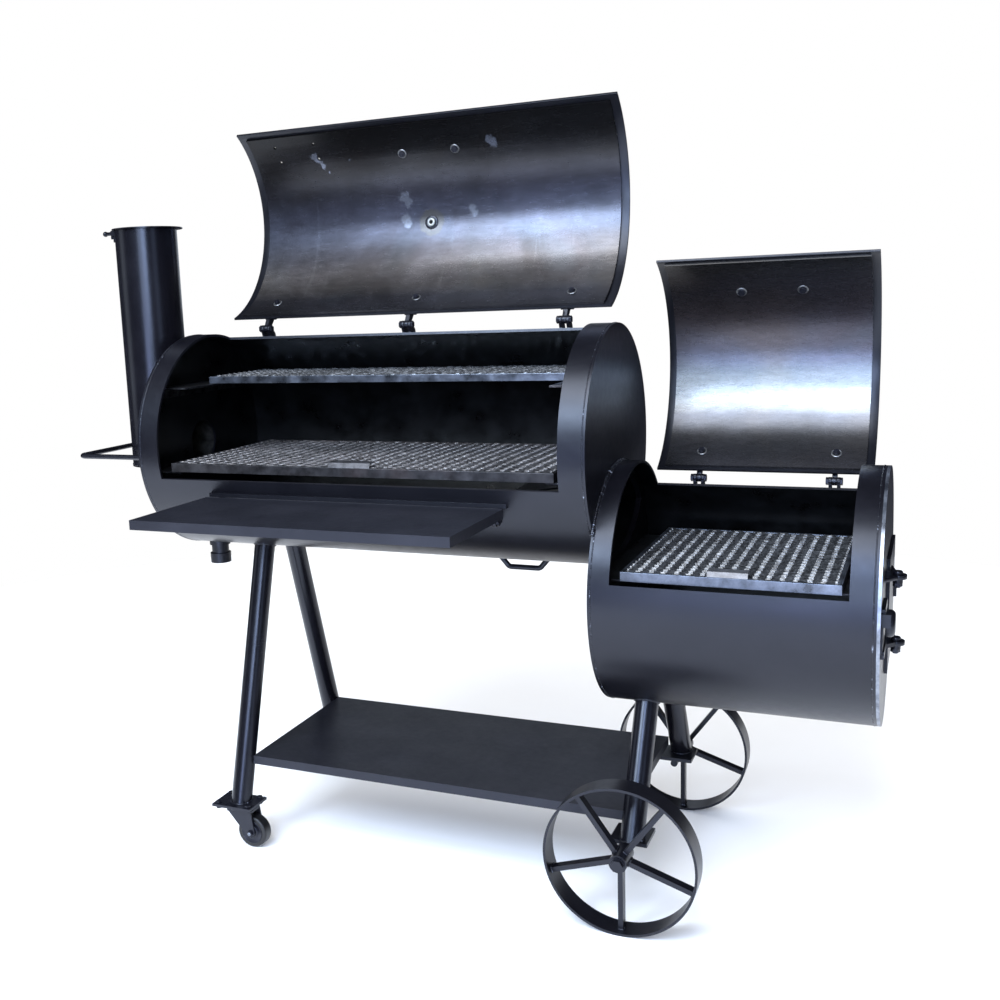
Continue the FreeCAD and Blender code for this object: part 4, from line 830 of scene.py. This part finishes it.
# probe fitting in the main door: a pale ring nut inside, a dark threaded sleeve outside
HUB = DOOR_HUB["main_door"]
BUNG = mid("thermometer_bung")
DOOR_AXIS = Vector((0, BUNG.y - HUB.y, BUNG.z - HUB.z)).normalized()
FITTING = Vector((BUNG.x, HUB.y, HUB.z)) + DOOR_AXIS * PANEL_INNER
SLEEVE = [(-0.0012, 0.0040), (-0.0016, 0.0150), (0.0002, 0.0176), (0.0010, 0.0150), (0.0190, 0.0150),
          (0.0198, 0.0142), (0.0198, 0.0075), (0.0185, 0.0066), (0.0020, 0.0062)]
RING_NUT = [(-0.0012, 0.0040), (-0.0012, 0.0094), (-0.0020, 0.0100), (-0.0048, 0.0100), (-0.0060, 0.0090),
            (-0.0062, 0.0058), (-0.0054, 0.0044)]
THREADS, THREAD_START, THREAD_PITCH, THREAD_LOW, THREAD_HIGH = 6, 0.0082, 0.0018, 0.0147, 0.0153
sleeve = Build()
turned_ring(sleeve, FITTING, DOOR_AXIS, SLEEVE)
for i in range(THREADS):
    along = THREAD_START + THREAD_PITCH * i
    turned_ring(sleeve, FITTING, DOOR_AXIS, [(along, THREAD_LOW), (along + THREAD_PITCH / 3, THREAD_HIGH),
                                             (along + THREAD_PITCH / 1.5, THREAD_LOW)])
sleeve = sleeve.make("probe_sleeve", CASTER, "main_door", "sooted_steel")
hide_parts("thermometer_bung")
ring_nut = Build()
turned_ring(ring_nut, FITTING, DOOR_AXIS, RING_NUT)
ring_nut.make("probe_ring_nut", PALE_NUT, "main_door", "zinc_hardware")


def bolt_middles(node):
    """Middle of each bolt in a node whose bolts stand at different places along X."""
    points = sorted((v.co for v in NODES[node].data.vertices), key=lambda v: v.x)
    groups = [[points[0]]]
    for point in points[1:]:
        if point.x - groups[-1][-1].x > 0.02:
            groups.append([])
        groups[-1].append(point)
    middles = []
    for group in groups:
        spans = [(min(v[i] for v in group), max(v[i] for v in group)) for i in range(3)]
        middles.append(Vector([(low + high) / 2 for low, high in spans]))
    return middles


# washers under the doors' bolts, and paint on the doors' outsides
WASHER = [(0.0008, 0.0074), (-0.0006, 0.0077), (-0.0012, 0.0094), (-0.0006, 0.0112), (0.0008, 0.0114)]
for body, hub in DOOR_HUB.items():
    washers = Build()
    for middle in bolt_middles(body + "_bolts"):
        axis = Vector((0, middle.y - hub.y, middle.z - hub.z)).normalized()
        turned_ring(washers, Vector((middle.x, hub.y, hub.z)) + axis * PANEL_INNER, axis, WASHER, 40)
    washers.make(body + "_bolt_washers", ZINC, body, "zinc_hardware")
    second_material(body + "_panel", PAINT, lambda c, n: away_from(hub, c, n) > 0.05)

# small chamfers on plates, lugs and straps
CHAMFERED = ("caster_plates", "axle_plates", "end_door_lugs", "shelf_brackets", "damper_slide", "grate_rails")
DOOR_METAL = [body + part for body in DOOR_HUB for part in ("_hinge_lugs", "_hinge_straps", "_rim")]
for node in (*DOOR_METAL, *CHAMFERED, *BOLTS):
    weld = NODES[node].modifiers.new("join", "WELD")
    weld.merge_threshold = 0.00002
    soften(NODES[node], 0.0005, 2, 30)


# ------------------------------------------------------------------ studio
def area(name, place, target, size, power, colour):
    """Softbox at a place, turned to a target and hidden from the camera."""
    light = bpy.data.lights.new(name, "AREA")
    light.shape, light.size, light.size_y = "RECTANGLE", size[0], size[1]
    light.energy, light.color = power, colour
    made = bpy.data.objects.new(name, light)
    made.location = place
    made.rotation_mode = "QUATERNION"
    made.rotation_quaternion = (Vector(target) - Vector(place)).to_track_quat("-Z", "Y")
    made.visible_camera = False
    bpy.context.scene.collection.objects.link(made)


area("front_low", (0.2, -4.7, 0.55), (0.04, 0, 0.9), (1.3, 1.1), 38, (0.52, 0.62, 1.0))
area("front_middle", (0.2, -4.7, 1.85), (0.04, 0, 0.9), (1.3, 1.4), 34, (0.66, 0.80, 1.0))
area("front_right", (1.5, -4.7, 1.85), (0.3, 0, 0.9), (1.3, 1.4), 84, (0.58, 0.72, 1.0))
area("high_left", (-1.4, -3.6, 3.4), (-0.2, 0, 0.9), (1.4, 1.4), 150, (0.70, 0.84, 1.0))
area("high_right", (0.6, -3.6, 3.4), (0.2, 0, 0.9), (1.4, 1.4), 104, (0.55, 0.70, 1.0))
area("overhead", (-0.2, -2.2, 4.2), (0, 0, 0.8), (3.0, 1.6), 150, (0.90, 0.95, 1.0))
area("left", (-4.6, -1.6, 1.5), (0, 0, 0.9), (1.6, 2.2), 10, (0.84, 0.92, 1.0))
area("right", (4.2, -2.6, 1.4), (0.4, 0, 0.9), (1.6, 2.2), 12, (0.60, 0.74, 1.0))
area("back", (-1.6, 4.4, 2.0), (0, 0, 0.9), (2.6, 1.6), 12, (0.80, 0.88, 1.0))

world = bpy.data.worlds.new("studio")
bpy.context.scene.world = world
world.use_nodes = True
tree = world.node_tree
background = tree.nodes["Background"]
seen = tree.nodes.new("ShaderNodeLightPath")
place = tree.nodes.new("ShaderNodeTexCoord")
split = tree.nodes.new("ShaderNodeSeparateXYZ")
tree.links.new(place.outputs["Generated"], split.inputs[0])
# what shiny faces reflect, by height; what lights matt faces; and what the camera sees
REFLECTED = [(0.0, (0.05, 0.055, 0.075)), (0.12, (0.03, 0.034, 0.05)), (0.5, (0.018, 0.02, 0.03)),
             (1.0, (0.04, 0.043, 0.055))]
AMBIENT, WHITE = (1.16, 1.17, 1.18), (1.0, 1.0, 1.0)
sky = ramp(tree, split.outputs["Z"], REFLECTED)
soft = blend(tree, seen.outputs["Is Diffuse Ray"], sky, AMBIENT)
colour = blend(tree, seen.outputs["Is Camera Ray"], soft, WHITE)
tree.links.new(colour, background.inputs["Color"])
background.inputs["Strength"].default_value = 1.0

floor_mesh = bpy.data.meshes.new("floor")
FLOOR_R, FLOOR_Z = 3.4, -0.0004
TURNS = [math.radians(a) for a in range(0, 360, 3)]
floor_mesh.from_pydata([(FLOOR_R * math.cos(a), FLOOR_R * math.sin(a), FLOOR_Z) for a in TURNS], [],
                       [tuple(range(len(TURNS)))])
floor = bpy.data.objects.new("floor", floor_mesh)
bpy.context.scene.collection.objects.link(floor)
floor_material, tree, shader = new_material("floor")
shader.inputs["Roughness"].default_value = 0.9
shader.inputs["Specular IOR Level"].default_value = 0.1
patches = noise(tree, 3.0, Detail=2.0)
pale = ramp(tree, patches.outputs["Fac"], [(0.3, (0.86, 0.86, 0.87)), (0.7, (0.88, 0.88, 0.89))])
tree.links.new(pale, shader.inputs["Base Color"])
floor_mesh.materials.append(floor_material)

# ------------------------------------------------------------------ camera
EYE = (0.977, -2.2838, 1.2504)
YAW, PITCH, ROLL = 0.438, 0.1734, 0.0417
SENSOR, LENS, SHIFT_X, SHIFT_Y, FAR = 36.0, 41.59, 0.0938, 0.0003, 200
ahead = Vector((-math.sin(YAW) * math.cos(PITCH), math.cos(YAW) * math.cos(PITCH), -math.sin(PITCH)))
level = Vector((math.cos(YAW), math.sin(YAW), 0))
down = ahead.cross(level)
right = level * math.cos(ROLL) + down * math.sin(ROLL)
below = -level * math.sin(ROLL) + down * math.cos(ROLL)
camera_data = bpy.data.cameras.new("camera")
camera = bpy.data.objects.new("camera", camera_data)
bpy.context.scene.collection.objects.link(camera)
turned_to = Matrix((right, -below, -ahead)).transposed().to_4x4()
camera.matrix_world = Matrix.Translation(EYE) @ turned_to
camera_data.sensor_width, camera_data.lens = SENSOR, LENS
camera_data.shift_x, camera_data.shift_y = SHIFT_X, SHIFT_Y
camera_data.clip_end = FAR
bpy.context.scene.camera = camera
bpy.context.scene.view_settings.view_transform = "Standard"
